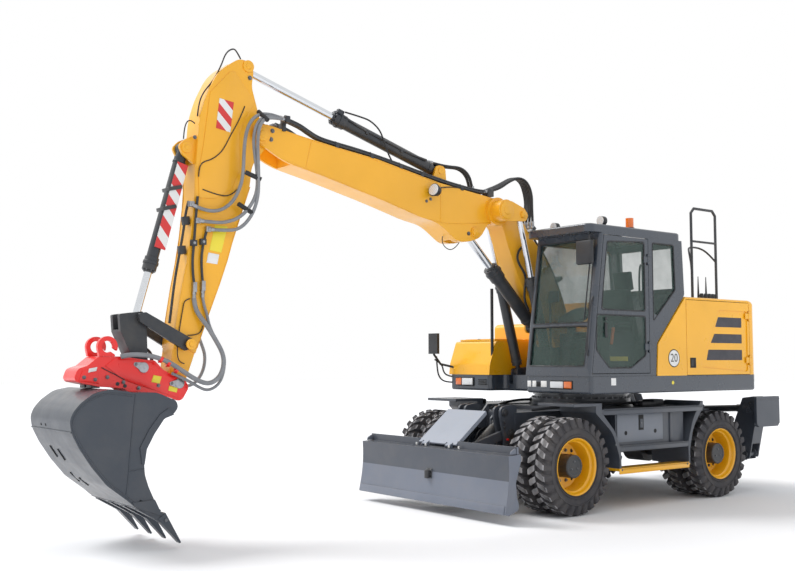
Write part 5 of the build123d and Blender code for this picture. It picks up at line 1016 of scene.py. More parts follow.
def makeStickCylinderTrim():
    mesh = bmesh.new()
    addHead(mesh, "stick")
    feed = cylinderLines["feed"]
    addTube(mesh, inPlane(feed, -0.048), 0.012)
    addTube(mesh, inPlane([(x, z + 0.012) for x, z in feed[1:]], -0.192), 0.012)
    tilt = cylinderLines["feedTilt"]
    addBox(mesh, *cylinderLines["feedBlock"], 0.006, tilt=tilt)
    for x, z in cylinderLines["feedClamps"]:
        addBox(mesh, (x - 0.018, -0.200, z - 0.030), (x + 0.018, -0.040, z + 0.016), tilt=tilt)
    finishPiece(mesh, "stickCylinderTrim", "stick_barrel", ["darkGrey", "bolt"])
    mesh = bmesh.new()
    addTube(mesh, inPlane(cylinderLines["wire"], -0.02), 0.009)
    finishPiece(mesh, "cylinderWire", "upper_boom", ["hose"],
                across=("stick_barrel", (2.98, 0.0, 3.85), (3.25, 0.0, 4.20)))
    mesh = bmesh.new()
    for y in (-0.105, -0.155):
        addTube(mesh, inPlane(cylinderLines["hoses"], y), 0.017, around=4)
        addFerrule(mesh, (1.692, y, 3.680), (1.690, y, 3.605), 0.017, 1)
        addFerrule(mesh, (2.300, y, 3.885), (2.372, y, 3.886), 0.017, 1)
    finishPiece(mesh, "cylinderHoses", "upper_boom", ["hose", "steel"],
                across=("stick_barrel", (1.95, 0.0, 3.87), (2.25, 0.0, 3.88)))


def makeBucketCylinderTrim():
    mesh = bmesh.new()
    addHead(mesh, "bucket")
    for x, z in cylinderLines["bucketClamps"]:
        addBox(mesh, (x - 0.070, -0.190, z - 0.018), (x + 0.070, -0.036, z + 0.018), 0.005,
               tilt=cylinderLines["bucketTilt"])
    finishPiece(mesh, "bucketCylinderTrim", "bucket_barrel", ["darkGrey", "bolt"])
    # striped guard over the barrel
    mesh = bmesh.new()
    axisTop, axisLow, top, low = [Vector(point) for point in guard["points"]]
    along = (axisLow - axisTop).normalized()
    wide = Vector((-along.y, along.x)) * guard["half"]
    corners = [top - wide, top + wide, low + wide, low - wide]
    addStripes(mesh, corners, guard["y"], guard["thick"], guard["bands"])
    finishPiece(mesh, "cylinderGuard", "bucket_barrel", ["signRed", "white"])


def makeBoomCylinderTrim():
    mesh = bmesh.new()
    addHead(mesh, "adjust")
    finishPiece(mesh, "adjustCylinderTrim", "adjust_barrel", ["darkGrey", "bolt"])
    mesh = bmesh.new()
    for name, pipeY in cylinderLines["liftPipeY"].items():
        addHead(mesh, name)
        addTube(mesh, inPlane(cylinderLines["lift"], pipeY), 0.011)
    finishPiece(mesh, "liftCylinderTrim", "lift_barrels", ["darkGrey", "bolt"])


coupler = {
    "cheek": 0.142, "face": 0.0325,
    "cheekPlate": [(5.400, 1.480), (5.345, 1.400), (5.415, 1.290), (5.545, 1.335), (5.905, 1.450),
                   (6.010, 1.500), (6.140, 1.600), (6.050, 1.672), (5.865, 1.655), (5.690, 1.632),
                   (5.600, 1.545), (5.505, 1.500)],
    "blockPlate": [(6.195, 1.440), (6.379, 1.470), (6.340, 1.565), (6.215, 1.575)],
    "pinCovers": (((5.861, 1.612), (5.737, 1.573)), ((5.512, 1.435), (5.384, 1.427))),  # small end, large end
    "bolts": ((5.972, 1.454), (5.827, 1.400), (5.640, 1.420), (6.120, 1.500)),
    "blockBolts": ((6.230, 1.480), (6.330, 1.500)),
    "split": [(6.175, 1.585), (6.130, 1.560), (6.037, 1.518), (5.960, 1.475)],
    "ports": ((6.024, 1.440), (5.955, 1.420)),
    "hoseClamps": ((5.480, 1.560), (5.560, 1.618), (5.635, 1.655)),
    "plates": ([(5.610, 1.500), (5.690, 1.515), (5.710, 1.452), (5.630, 1.437)],
               [(6.215, 1.590), (6.290, 1.575), (6.296, 1.540), (6.222, 1.555)],
               [(5.450, 1.395), (5.535, 1.415), (5.545, 1.372), (5.460, 1.352)]),
    "hose": [(5.700, 1.590), (5.720, 1.700), (5.670, 1.770), (5.590, 1.760), (5.530, 1.680), (5.545, 1.530)],
    "hoseRows": (-0.335, -0.360), "bearing": (6.180, 6.262, 0.02, 0.134, 1.405, 1.440),
}


def makeCouplerTrim():
    mesh = bmesh.new()
    for sign in (1, -1):
        face = boom["plane"] + sign * coupler["cheek"]
        addPlate(mesh, coupler["cheekPlate"], face + sign * 0.003, 0.010)
        # teardrop covers over the two pins
        for (x, z), (wideX, wideZ) in coupler["pinCovers"]:
            addSideRod(mesh, wideX + 0.05, wideZ + 0.01, face, sign, 0.0, 0.020, 0.048, 40, 0.005, 1)
            addSideRod(mesh, x, z, face, sign, 0.0, 0.016, 0.020, 24, 0.003, 1)
            addPlate(mesh, [(wideX + 0.04, wideZ + 0.056), (x, z + 0.019), (x + 0.004, z - 0.019),
                            (wideX + 0.06, wideZ - 0.036)], face + sign * 0.012, 0.008, 0.002, index=1)
            addBolt(mesh, (x, face + sign * 0.014, z), (0, sign, 0), 0.010, 0.008, index=2)
        for x, z in coupler["bolts"]:
            addBolt(mesh, (x, face + sign * 0.007, z), (0, sign, 0), 0.013, 0.012, index=2)
        addTube(mesh, inPlane(coupler["split"], face + sign * 0.007), 0.004, index=3, around=1)
        for x, z in coupler["ports"]:
            addSideRod(mesh, x, z, face, sign, -0.004, 0.004, 0.017, 24, index=3)
        # dark bearing under the front block
        x0, x1, near, far, z0, z1 = coupler["bearing"]
        addBox(mesh, (x0, boom["plane"] + sign * near, z0), (x1, boom["plane"] + sign * far, z1), index=3)
        addPlate(mesh, coupler["blockPlate"], face + sign * 0.002, 0.010)
        for x, z in coupler["blockBolts"]:
            addBolt(mesh, (x, face + sign * 0.006, z), (0, sign, 0), 0.013, 0.012, index=2)
    finishPiece(mesh, "couplerTrim", "bucket", ["red", "steel", "bolt", "darkGrey"])
    mesh = bmesh.new()
    for x, z in coupler["hoseClamps"]:
        addRod(mesh, (x - 0.012, 0.072, z - 0.008), (x + 0.012, 0.066, z + 0.006), 0.031, segments=28,
               bevel=0.004)
        addBox(mesh, (x - 0.016, 0.030, z - 0.030), (x + 0.016, 0.062, z + 0.020))
    finishPiece(mesh, "hoseClamps", "bucket", ["red"])
    mesh = bmesh.new()
    for outline, index in zip(coupler["plates"], (0, 1, 0)):
        addPlate(mesh, outline, coupler["face"], 0.003, 0.001, index)
    finishPiece(mesh, "couplerPlates", "bucket", ["labelYellow", "white"])
    mesh = bmesh.new()
    for y in coupler["hoseRows"]:
        addTube(mesh, inPlane(coupler["hose"], y), 0.011)
    finishPiece(mesh, "couplerHoses", "bucket", ["hose"])


bucket = {
    "half": 0.500,
    "seam": [(6.005, 1.357), (6.022, 1.211), (6.036, 0.969), (6.052, 0.777), (6.056, 0.663), (6.077, 0.479)],
    "branch": [(6.056, 0.700), (5.990, 0.715), (5.915, 0.720)],
    "rim": [(6.036, 1.345), (6.218, 1.376), (6.362, 1.345), (6.470, 1.272), (6.528, 1.200), (6.552, 1.130),
            (6.534, 1.046), (6.470, 0.926), (6.364, 0.772), (6.232, 0.615), (6.056, 0.484), (5.985, 0.418)],
    "bead": (6.560, 1.052),
    "cap": [(5.960, 0.440), (5.820, 0.372), (5.760, 0.330), (5.752, 0.352), (5.815, 0.398), (5.950, 0.462)],
    "slots": ((-0.365, (6.475, 0.896), (6.407, 0.796)), (-0.205, (6.462, 0.876), (6.394, 0.776)),
              (-0.355, (6.291, 0.651), (6.206, 0.567)), (-0.225, (6.259, 0.612), (6.172, 0.541))),
    "holes": (-0.350, -0.235), "holeEnds": ((6.545, 1.092), (6.5665, 1.090)),
    "teeth": (-0.455, -0.152, 0.152, 0.455), "toothPin": (5.706, 0.262),
}


def makeBucketTrim():
    mesh = bmesh.new()
    addWelds(mesh, [bucket["seam"]], bucket["half"], 0.006)
    addWelds(mesh, [bucket["branch"]], bucket["half"], 0.006, 3, 3)
    addWelds(mesh, [bucket["rim"]], bucket["half"], 0.008, 3, 3)
    x, z = bucket["bead"]  # weld across the shell
    ends = [(x, boom["plane"] + sign * bucket["half"], z) for sign in (-1, 1)]
    addTube(mesh, ends, 0.006, order=2, around=2)
    # black bars in the slots are painted shade
    for y, (x0, z0), (x1, z1) in bucket["slots"]:
        run = Vector((x1 - x0, 0, z1 - z0))
        out = Vector((-run.z, 0, run.x)).normalized()
        part = bmesh.new()
        addBox(part, (-run.length / 2, -0.009, -0.004), (run.length / 2, 0.009, 0.004), 0.0)
        turnPart(part, math.degrees(math.atan2(-run.z, run.x)), "Y")
        middle = Vector(((x0 + x1) / 2, y, (z0 + z1) / 2)) + out * 0.003
        bmesh.ops.translate(part, vec=middle, verts=part.verts)
        joinPart(mesh, part, 2)
    # black discs in the holes are painted shade
    (x0, z0), (x1, z1) = bucket["holeEnds"]
    for y in bucket["holes"]:
        addRod(mesh, (x0, y, z0), (x1, y, z1), 0.012, segments=20, index=2)
    # wear cap and pin of each tooth
    x, z = bucket["toothPin"]
    for y in bucket["teeth"]:
        middle = boom["plane"] + y
        addPlate(mesh, bucket["cap"], middle, 0.090)
        addSideRod(mesh, x, z, middle, 1, -0.050, 0.050, 0.016, 20, 0.003, 1)
    finishPiece(mesh, "bucketTrim", "bucket", ["bucketGrey", "bolt", "black"])


makeStickTrim()
makeStickLines()
makeToolHoses()
makeStickCylinderTrim()
makeBucketCylinderTrim()
makeBoomCylinderTrim()
makeCouplerTrim()
makeBucketTrim()
print("stick, coupler and bucket dressed")


steps = {
    "pitch": 0.032, "tooth": 0.015, "lip": 0.062,
    "edges": ((-0.785, 1.000, 1.2265, 1.1105, 0), (-0.495, 0.715, 1.2265, 0.7005, 0),
              (-0.510, 0.730, 1.2265, 0.4555, 3)),  # from x to x, distance out, top, finish
    "tread": (-0.52, 0.74, 1.03, 0.4235, 0.4565),  # from x to x, beyond this far out, from z to z
    "panel": (-0.110, 0.690, 0.735, 1.055), "panelFace": 1.155, "post": (-0.275, -0.235, 0.700, 1.078),
    "latch": (0.280, 0.945), "roundHoles": ((0.545, 0.835), (0.030, 0.840)),
    "bolts": ((0.715, 0.560, 0.010), (0.715, 0.495, 0.010), (0.790, 0.720, 0.010), (-0.515, 0.520, 0.010),
              (0.690, 0.440, 0.009), (-0.470, 0.440, 0.009)),
}
deck = {
    "ringRadius": 0.594, "ringZ": 1.192, "ringBolts": 40, "top": 1.108,
    "blocks": ((-0.40, 0.80, 0.10, 0.09, 0.075), (-0.16, 0.86, 0.13, 0.08, 0.055),
               (0.92, 0.84, 0.06, 0.06, 0.06)),
    "hose": ((-0.62, 0.70, 1.11), (-0.40, 0.70, 1.15), (-0.10, 0.74, 1.14), (0.30, 0.72, 1.15),
             (0.62, 0.66, 1.13), (0.90, 0.50, 1.11), (1.20, 0.34, 1.08)),
}
nose = {
    "face": 0.365, "pins": ((1.600, 0.430, 0.052), (1.560, 0.830, 0.052), (1.650, 1.065, 0.046)),
    "bolts": ((1.655, 0.960), (1.655, 0.905), (1.615, 0.700), (1.600, 0.640)), "nipple": (1.612, 0.765),
    "hose": ((1.50, 0.88), (1.62, 0.86), (1.70, 0.74), (1.66, 0.62), (1.56, 0.58)), "hoseRows": (0.24, 0.08),
}
outrigger = {
    "pivot": (0.966, 1.032), "faces": ((-2.085, 1), (-2.285, -1)), "eye": (0.930, 0.440),
    "eyeFaces": ((-2.063, -2.047), (-2.307, -2.323)), "bolts": ((0.892, 0.520), (0.930, 0.470)),
    "padWeld": ((-2.43, -1.92), 1.2165, 1.150),
    "topBolt": (1.010, 1.100),
}


def paintFaces(nodeName, finishNames, pick):
    # parts of one node in other paints: pick gives each face's index
    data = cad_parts[nodeName].data
    for finishName in finishNames:
        data.materials.append(finish[finishName])
    for face in data.polygons:
        face.material_index = pick(face)


def stepFinish(face):
    # the low step's tread is yellow
    x, y, z = face.center
    x0, x1, out, z0, z1 = steps["tread"]
    return 1 if x0 < x < x1 and abs(y) > out and z0 < z < z1 else 0


def bladeShadeFinish(face):
    # painted shade on the front of the mouldboard above the fold, where the upper panel leans forward and faces
    # down; darker along the top as well
    x, z = face.center.x, face.center.z
    frontX, frontZ, topZ = blade["dark"]
    front = z > frontZ and x > frontX and face.normal.x > 0.5
    top = z > topZ and abs(face.normal.y) < 0.5
    return 1 if front or top else 0


def makeStepTrim():
    mesh = bmesh.new()
    pitch, face = steps["pitch"], steps["panelFace"]
    x0, x1, z0, z1 = steps["post"]
    latchX, latchZ = steps["latch"]
    for side in (1, -1):
        # serrated lips along the shelves and the low step
        for low, high, out, z, index in steps["edges"]:
            for i in range(int((high - low) / pitch)):
                x = low + pitch * (i + 0.3)
                inner, outer = sorted((side * (out - 0.006), side * out))
                addBox(mesh, (x, inner, z - 0.016), (x + steps["tooth"], outer, z + 0.006), 0.0, index)
            inner, outer = sorted((side * (out - 0.012), side * out))
            addBox(mesh, (low, inner, z - steps["lip"]), (high, outer, z - 0.001), index=index)
        addPlate(mesh, oblong(*steps["panel"]), side * (face + 0.004), 0.008, index=1)
        inner, outer = sorted((side * 1.10, side * 1.170))
        addBox(mesh, (x0, inner, z0), (x1, outer, z1), 0.005)
        # black discs in the round holes are painted shade
        for x, z in steps["roundHoles"]:
            addSideRod(mesh, x, z, side * face, side, 0.0, 0.0095, 0.024, index=2)
        addPlate(mesh, oblong(latchX - 0.042, latchX + 0.042, latchZ - 0.085, latchZ + 0.085),
                 side * (face + 0.010), 0.006, index=2)
        addPlate(mesh, oblong(latchX - 0.022, latchX + 0.022, latchZ - 0.060, latchZ + 0.040),
                 side * (face + 0.014), 0.008)
        addSideRod(mesh, latchX, latchZ - 0.005, side * face, side, 0.0, 0.021, 0.010, 20, index=4)
        for x, z, radius in steps["bolts"]:
            addBolt(mesh, (x, side * 1.225, z), (0, side, 0), radius, 0.008, index=4)
    finishPiece(mesh, "sideStepTrim", "chassis", ["chassisGrey", "panelGrey", "black", "yellow", "bolt"])


def makeDeckFittings():
    # bolts round the slewing ring, and what stands on the deck beside it
    mesh = bmesh.new()
    addRing(mesh, (0, 0, deck["ringZ"]), (0, 0, 1), deck["ringRadius"], deck["ringBolts"], 0.012, 0.016,
            index=1)
    for side in (1, -1):
        for x, y, wide, deep, high in deck["blocks"]:
            y, z = side * y, deck["top"]
            addBox(mesh, (x - wide, y - deep, z), (x + wide, y + deep, z + high), 0.018)
            addRod(mesh, (x - wide * 1.3, y, z + 0.02), (x + wide * 1.3, y, z + 0.02), 0.017, segments=20,
                   bevel=0.003)
        addTube(mesh, [(x, side * y, z) for x, y, z in deck["hose"]], 0.016)
    finishPiece(mesh, "deckFittings", "chassis", ["plastic", "bolt"])


def makeNoseTrim():
    # pins, bolts and hoses of the blade's cheek plates, and the outrigger eyes on the rear beam
    mesh = bmesh.new()
    y, z = outrigger["eye"]
    nippleX, nippleZ = nose["nipple"]
    for side in (1, -1):
        face = side * nose["face"]
        for pinX, pinZ, radius in nose["pins"]:
            addPinCap(mesh, pinX, pinZ, face, side, radius, 0.0, 0.018, 0.028, 40, rimSegments=28)
        for boltX, boltZ in nose["bolts"]:
            addBolt(mesh, (boltX, face, boltZ), (0, side, 0), 0.014, 0.014, index=1)
        addSideRod(mesh, nippleX, nippleZ, face, side, 0.0, 0.022, 0.012, 20, 0.002, 2)
        for row in nose["hoseRows"]:
            addTube(mesh, inPlane(nose["hose"], side * row), 0.010, index=3)
        for start, end in outrigger["eyeFaces"]:
            addRod(mesh, (start, side * y, z), (end, side * y, z), 0.044, bevel=0.004)
    finishPiece(mesh, "noseTrim", "chassis", ["darkGrey", "bolt", "red", "hose"])


def makeOutriggerTrim(side, handed):
    mesh = bmesh.new()
    y, z = outrigger["pivot"]
    topY, topZ = outrigger["topBolt"]
    for x, out in outrigger["faces"]:
        addRod(mesh, (x, side * y, z), (x + out * 0.016, side * y, z), 0.062, segments=40, bevel=0.004)
        addRod(mesh, (x, side * y, z), (x + out * 0.030, side * y, z), 0.030, segments=28, bevel=0.003)
        addBolt(mesh, (x, side * topY, topZ), (out, 0, 0), 0.012, 0.012, index=1)
        for boltY, boltZ in outrigger["bolts"]:
            addBolt(mesh, (x, side * boltY, boltZ), (out, 0, 0), 0.009, 0.009, index=1)
    ends, padY, padZ = outrigger["padWeld"]
    addTube(mesh, [(x, side * padY, padZ) for x in ends], 0.003, order=2, around=1)
    finishPiece(mesh, "outriggerTrim" + handed.capitalize(), "outrigger_" + handed, ["chassisGrey", "bolt"])


blade = {
    "edge": [(2.470, 0.196), (2.4805, 0.197), (2.4985, 0.113), (2.486, 0.108)], "edgeWidth": 2.460,
    "edgeWeld": (2.472, 1.225, 0.200), "jaw": (2.430, 0.000, 0.410),
    "eye": [(2.275, 0.700), (2.395, 0.700), (2.380, 0.735), (2.330, 0.760), (2.285, 0.735)], "eyeY": 1.225,
    "nipples": (0.20, 0.36), "dark": (2.40, 0.437, 0.60),
}


def makeBladeTrim():
    mesh = bmesh.new()
    addPlate(mesh, blade["edge"], 0.0, blade["edgeWidth"])
    x, y, z = blade["edgeWeld"]
    addTube(mesh, [(x, -y, z), (x, y, z)], 0.0045, order=2, around=1)
    # tow jaw on its bolted plate
    x, y, z = blade["jaw"]
    addBox(mesh, (x - 0.020, y - 0.050, z - 0.062), (x + 0.014, y + 0.050, z + 0.062), 0.006, index=1)
    for dy in (-0.030, 0.030):
        for dz in (-0.038, 0.038):
            addBolt(mesh, (x + 0.012, y + dy, z + dz), (1, 0, 0), 0.012, 0.012, index=2)
    addRod(mesh, (x + 0.010, y, z), (x + 0.050, y, z), 0.026, segments=28, bevel=0.004, index=1)
    addRod(mesh, (x + 0.040, y, z - 0.045), (x + 0.040, y, z + 0.045), 0.030, segments=28, bevel=0.008, index=1)
    # lifting eyes and grease points along the top
    for side in (1, -1):
        addPlate(mesh, blade["eye"], side * blade["eyeY"], 0.018)
        for y in blade["nipples"]:
            y = side * y + 0.03
            addRod(mesh, (2.350, y, 0.700), (2.350, y, 0.728), 0.011, segments=16, bevel=0.002, index=3)
    finishPiece(mesh, "bladeTrim", "blade", ["bladeGrey", "darkGrey", "bolt", "white"])


paintFaces("side_steps", ["yellow"], stepFinish)
# painted shade on the blade's upper front panel above the fold
paintFaces("blade", ["bladePaintedShade"], bladeShadeFinish)
makeStepTrim()
makeDeckFittings()
makeNoseTrim()
makeOutriggerTrim(1, "left")
makeOutriggerTrim(-1, "right")
makeBladeTrim()
print("undercarriage dressed")


cab = {
    "left": 1.240, "sealRadius": 0.009,
    "panes": [[(0.900, 2.966), (0.266, 3.000), (0.266, 2.205), (1.010, 2.205)],
              [(1.085, 2.150), (1.104, 1.764), (0.893, 1.564), (0.522, 1.563), (0.263, 1.703), (0.263, 2.150)]],
    "quarter": [(0.120, 2.100), (0.120, 3.000), (-0.270, 3.000), (-0.290, 2.470)],
    "screenY": (0.332, 1.170), "frontLow": (1.225, 1.560), "frontTop": (1.010, 3.060),
    "screens": ((1.580, 2.025), (2.060, 2.990)),
    "doorLock": (((0.925, 1.2405, 1.900), (0.965, 1.2495, 2.060)),
                 ((0.930, 1.2400, 2.085), (0.960, 1.2490, 2.125))),
    "doorHandle": ((0.300, 1.215, 2.260), (0.300, 1.190, 2.300), (0.300, 1.190, 2.700), (0.300, 1.215, 2.740)),
    # wiper and grab handle: distance out from the screen, y, z
    "wiper": ((0.00857, 1.120, 2.090), (0.012, 1.130, 2.450), (0.010, 1.135, 2.930)),
    "grabHandle": ((0.006, 1.215, 1.700), (0.05, 1.222, 1.740), (0.05, 1.222, 2.300), (0.004, 1.215, 2.340)),
    "mirrorArm": ((1.060, 1.180, 3.030), (1.120, 1.190, 3.060), (1.150, 1.195, 2.980), (1.145, 1.195, 2.900)),
    "mirror": ((1.120, 1.010, 2.700), (1.170, 1.246, 2.970)),
}
hood = {
    "face": 1.250, "pocketFace": 1.238, "top": 2.399, "latch": (-0.587, 1.619),
    "louvres": [[(-1.052, 2.054), (-1.116, 2.175), (-1.600, 2.175), (-1.600, 2.054)],
                [(-0.956, 1.858), (-1.034, 1.970), (-1.600, 1.970), (-1.600, 1.858)],
                [(-0.868, 1.650), (-0.909, 1.777), (-1.600, 1.777), (-1.600, 1.650)]],
    "exhaustFoot": 2.404, "disc": (-0.227, 1.672), "discRadius": 0.105, "discRing": 0.90, "figure": "20",
    "figureSize": 0.135,
    "caps": ((-1.14, 0.99), (-1.21, 1.00), (-1.28, 1.00), (-1.35, 1.00), (-1.42, 0.99)),
    "aerials": (-1.20, -1.36),
    "rail": ((-1.080, 0.900, 2.399), (-1.080, 0.900, 2.800), (-1.080, 0.860, 3.000), (-1.150, 0.800, 3.080),
             (-1.400, 0.800, 3.080), (-1.500, 0.860, 3.000), (-1.580, 0.900, 2.900)),
    "screen": ((-1.480, -0.300, 2.400), (-0.900, 0.380, 2.412)),
    "mirrorLoop": (((1.060, -1.180, 1.370), (1.150, -1.250, 1.370), (1.215, -1.290, 1.430),
                    (1.240, -1.300, 1.540), (1.250, -1.300, 1.700)),
                   ((1.060, -1.180, 1.440), (1.130, -1.225, 1.450), (1.170, -1.260, 1.500),
                    (1.180, -1.270, 1.600), (1.280, -1.300, 1.660))),
}


def frontX(z):
    (x0, z0), (x1, z1) = cab["frontLow"], cab["frontTop"]
    return x0 + (x1 - x0) * (z - z0) / (z1 - z0)


def addSeal(mesh, corners, radius, bend=0.055):
    # a closed strip round an opening, its corners eased by points set before and after each
    places = []
    for before, corner, after in zip(corners[-1:] + corners[:-1], corners, corners[1:] + corners[:1]):
        before, corner, after = Vector(before), Vector(corner), Vector(after)
        places += [corner + (before - corner).normalized() * bend, corner,
                   corner + (after - corner).normalized() * bend]
    addTube(mesh, places, radius, around=2, fine=4, closed=True)


def onScreen(points):
    return [(frontX(z) + out, y, z) for out, y, z in points]


def makeSeals():
    mesh = bmesh.new()
    for outline in cab["panes"]:
        addSeal(mesh, inPlane(outline, cab["left"] - 0.004), cab["sealRadius"])
    for low, high in cab["doorLock"]:
        addBox(mesh, low, high, 0.003)
    addTube(mesh, cab["doorHandle"], 0.012)
    finishPiece(mesh, "doorSeals", "cab_door", ["plastic"])
    mesh = bmesh.new()
    addSeal(mesh, inPlane(cab["quarter"], cab["left"] - 0.004), cab["sealRadius"])
    y0, y1 = cab["screenY"]
    for z0, z1 in cab["screens"]:
        addSeal(mesh, onScreen([(-0.006, y0, z0), (-0.006, y1, z0), (-0.006, y1, z1), (-0.006, y0, z1)]), 0.010)
    addTube(mesh, onScreen(cab["wiper"]), 0.008)
    addTube(mesh, cab["mirrorArm"], 0.011)
    addBox(mesh, *cab["mirror"], 0.024)
    addTube(mesh, onScreen(cab["grabHandle"]), 0.011)
    finishPiece(mesh, "cabSeals", "upper", ["plastic"])


seat = {  # each padded piece: low corner, high corner, crown, tilt
    "seatCushion": ((0.270, 0.510, 1.775), (0.770, 0.990, 1.885), 0.030, 0),
    "seatBack": ((-0.150, 0.525, 2.130), (0.460, 0.975, 2.235), 0.028, -76),
    "seatHeadrest": ((-0.055, 0.630, 2.545), (0.165, 0.870, 2.630), 0.015, -80),
}
pad = {"cuts": 7, "pinch": 0.05, "sidePinch": 0.04, "channelDepth": 0.10, "channelY": 0.58, "channelWide": 0.07,
       "under": -0.25, "edge": 0.018}


def cushionShape(low, high, crown, tilt):
    # a crowned block with a sewn channel down each side
    part = bmesh.new()
    bmesh.ops.create_cube(part, size=2.0)
    bmesh.ops.subdivide_edges(part, edges=part.edges, cuts=pad["cuts"], use_grid_fill=True)
    half = (Vector(high) - Vector(low)) / 2
    for vert in part.verts:
        x, y, z = vert.co
        puff = (1 - x * x) * (1 - y * y)
        pinch = 1.0 - pad["pinch"] * (z * z) - pad["sidePinch"] * (1 - abs(x)) * (1 - abs(y))
        channel = pad["channelDepth"] * math.exp(-((abs(y) - pad["channelY"]) / pad["channelWide"]) ** 2)
        swell = (1 if z > 0 else pad["under"]) * crown * (puff - channel) * (abs(z) > 0.5)
        vert.co = (x * half.x * pinch, y * half.y * pinch, z * half.z + swell)
    bevelSharp(part, pad["edge"], 3)
    if tilt:
        turnPart(part, tilt, "Y")
    bmesh.ops.translate(part, vec=(Vector(high) + Vector(low)) / 2, verts=part.verts)
    return part


seatFrame = {
    "boxes": (((0.330, 0.600, 1.505), (0.600, 0.900, 1.765), 0.030),
              ((0.290, 0.560, 1.740), (0.720, 0.940, 1.785), 0.012)),
    "armY": (0.500, 1.000), "arm": (0.220, 0.540, 0.035, 2.040, 2.090),
    "armPost": (0.200, 0.250, 0.020, 1.800, 2.060),
}


def makeSeat():
    for name, shape in seat.items():
        finishPiece(cushionShape(*shape), name, "upper", ["fabric"])
    mesh = bmesh.new()
    for low, high, bevel in seatFrame["boxes"]:
        addBox(mesh, low, high, bevel)
    for y in seatFrame["armY"]:
        for key, bevel in (("arm", 0.018), ("armPost", 0.010)):
            x0, x1, half, z0, z1 = seatFrame[key]
            addBox(mesh, (x0, y - half, z0), (x1, y + half, z1), bevel)
    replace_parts(finishPiece(mesh, "seatFrame", "upper", ["interior"]), "seat")


controls = {
    "leverY": (0.440, 1.060), "lever": ((0.620, 1.958), (0.640, 2.030)),
    "grip": ((0.640, 2.020), (0.645, 2.090)),
    "leverBox": (0.360, 0.560, 0.050, 1.958, 1.985), "display": ((0.930, 0.380, 2.320), (0.950, 0.540, 2.450)),
    "displayPost": ((0.960, 0.420, 1.560), (0.960, 0.420, 2.330)), "pedalY": (0.640, 0.800),
    "pedal": (1.000, 1.090, 0.060, 1.503, 1.600), "pedalTilt": 20,
    "belt": ((0.700, 1.120, 1.820), (0.730, 1.150, 2.020)), "beltTilt": -12,
    "sill": (0.560, 0.860, 1.640, 1.690), "sillY": 1.222,
}


def makeCabFittings():
    mesh = bmesh.new()
    for y in controls["leverY"]:
        (x0, z0), (x1, z1) = controls["lever"]
        addRod(mesh, (x0, y, z0), (x1, y, z1), 0.012, segments=16)
        (x0, z0), (x1, z1) = controls["grip"]
        addRod(mesh, (x0, y, z0), (x1, y, z1), 0.024, 0.018, segments=20, bevel=0.006)
        x0, x1, half, z0, z1 = controls["leverBox"]
        addBox(mesh, (x0, y - half, z0), (x1, y + half, z1), 0.010)
    addBox(mesh, *controls["display"], 0.006)
    addRod(mesh, *controls["displayPost"], 0.014, segments=16)
    for y in controls["pedalY"]:
        x0, x1, wide, z0, z1 = controls["pedal"]
        addBox(mesh, (x0, y, z0), (x1, y + wide, z1), 0.008, tilt=controls["pedalTilt"])
    addBox(mesh, *controls["belt"], 0.008, 1, controls["beltTilt"])
    addPlate(mesh, oblong(*controls["sill"]), controls["sillY"], 0.002, 0.0, index=2)
    finishPiece(mesh, "cabFittings", "upper", ["plastic", "lampOrange", "labelYellow"])


lamps = {
    "cab": (1.203, 0.640, 0.985, 1.325, 1.425, True),  # face, from y to y, from z to z, white half first
    "box": (1.078, -1.120, -0.780, 1.330, 1.440, False), "whiteShare": 0.62, "orangeShare": 0.36,
    "plates": ((0.285, 0.345), (0.365, 0.425), (0.500, 0.590)),
    "socket": ((1.200, 0.430, 1.350), (1.209, 0.490, 1.405)),
    "slat": (1.070, 1.084, -0.700, -0.560, 1.350), "slatPitch": 0.026, "slatHigh": 0.012,
    "sign": (0.800, 0.880, 1.372, 1.452), "signY": 1.2506,
    "marker": ((-0.199, 1.2485, 1.390), (-0.199, 1.2515, 1.390)),
    "lidPanel": (0.400, 0.880, 1.9105, 1.9155), "lidLock": ((0.905, -0.875, 1.906), (0.905, -0.875, 1.9165)),
    "lidY": -0.875, "lidWide": 0.560,
}


def addLampSet(mesh, face, low, high, z0, z1, whiteFirst):
    addBox(mesh, (face - 0.020, low, z0), (face + 0.010, high, z1), 0.010)
    cut = low + (high - low) * lamps["whiteShare" if whiteFirst else "orangeShare"]
    finishes = (1, 2) if whiteFirst else (2, 1)
    for index, (a, b) in zip(finishes, ((low + 0.012, cut - 0.006), (cut + 0.006, high - 0.012))):
        addBox(mesh, (face, a, z0 + 0.012), (face + 0.018, b, z1 - 0.012), 0.008, index)


def makeLamps():
    mesh = bmesh.new()
    addLampSet(mesh, *lamps["cab"])
    addLampSet(mesh, *lamps["box"])
    for y0, y1 in lamps["plates"]:
        addBox(mesh, (1.200, y0, 1.345), (1.208, y1, 1.415), 0.003, 3)
    addBox(mesh, *lamps["socket"])
    x0, x1, y0, y1, z = lamps["slat"]
    for k in range(3):
        foot = z + lamps["slatPitch"] * k
        addBox(mesh, (x0, y0, foot), (x1, y1, foot + lamps["slatHigh"]), 0.002)
    addPlate(mesh, oblong(*lamps["sign"]), lamps["signY"], 0.0020, 0.0, index=3)
    addRod(mesh, *lamps["marker"], 0.022, segments=24, index=4)
    finishPiece(mesh, "bandLamps", "upper", ["black", "lampClear", "lampOrange", "white", "labelYellow"])
    mesh = bmesh.new()
    addPlate(mesh, oblong(*lamps["lidPanel"]), lamps["lidY"], lamps["lidWide"], 0.002)
    addRod(mesh, *lamps["lidLock"], 0.016, segments=20, index=1)
    finishPiece(mesh, "lidPanel", "toolbox_lid", ["yellow", "bolt"])


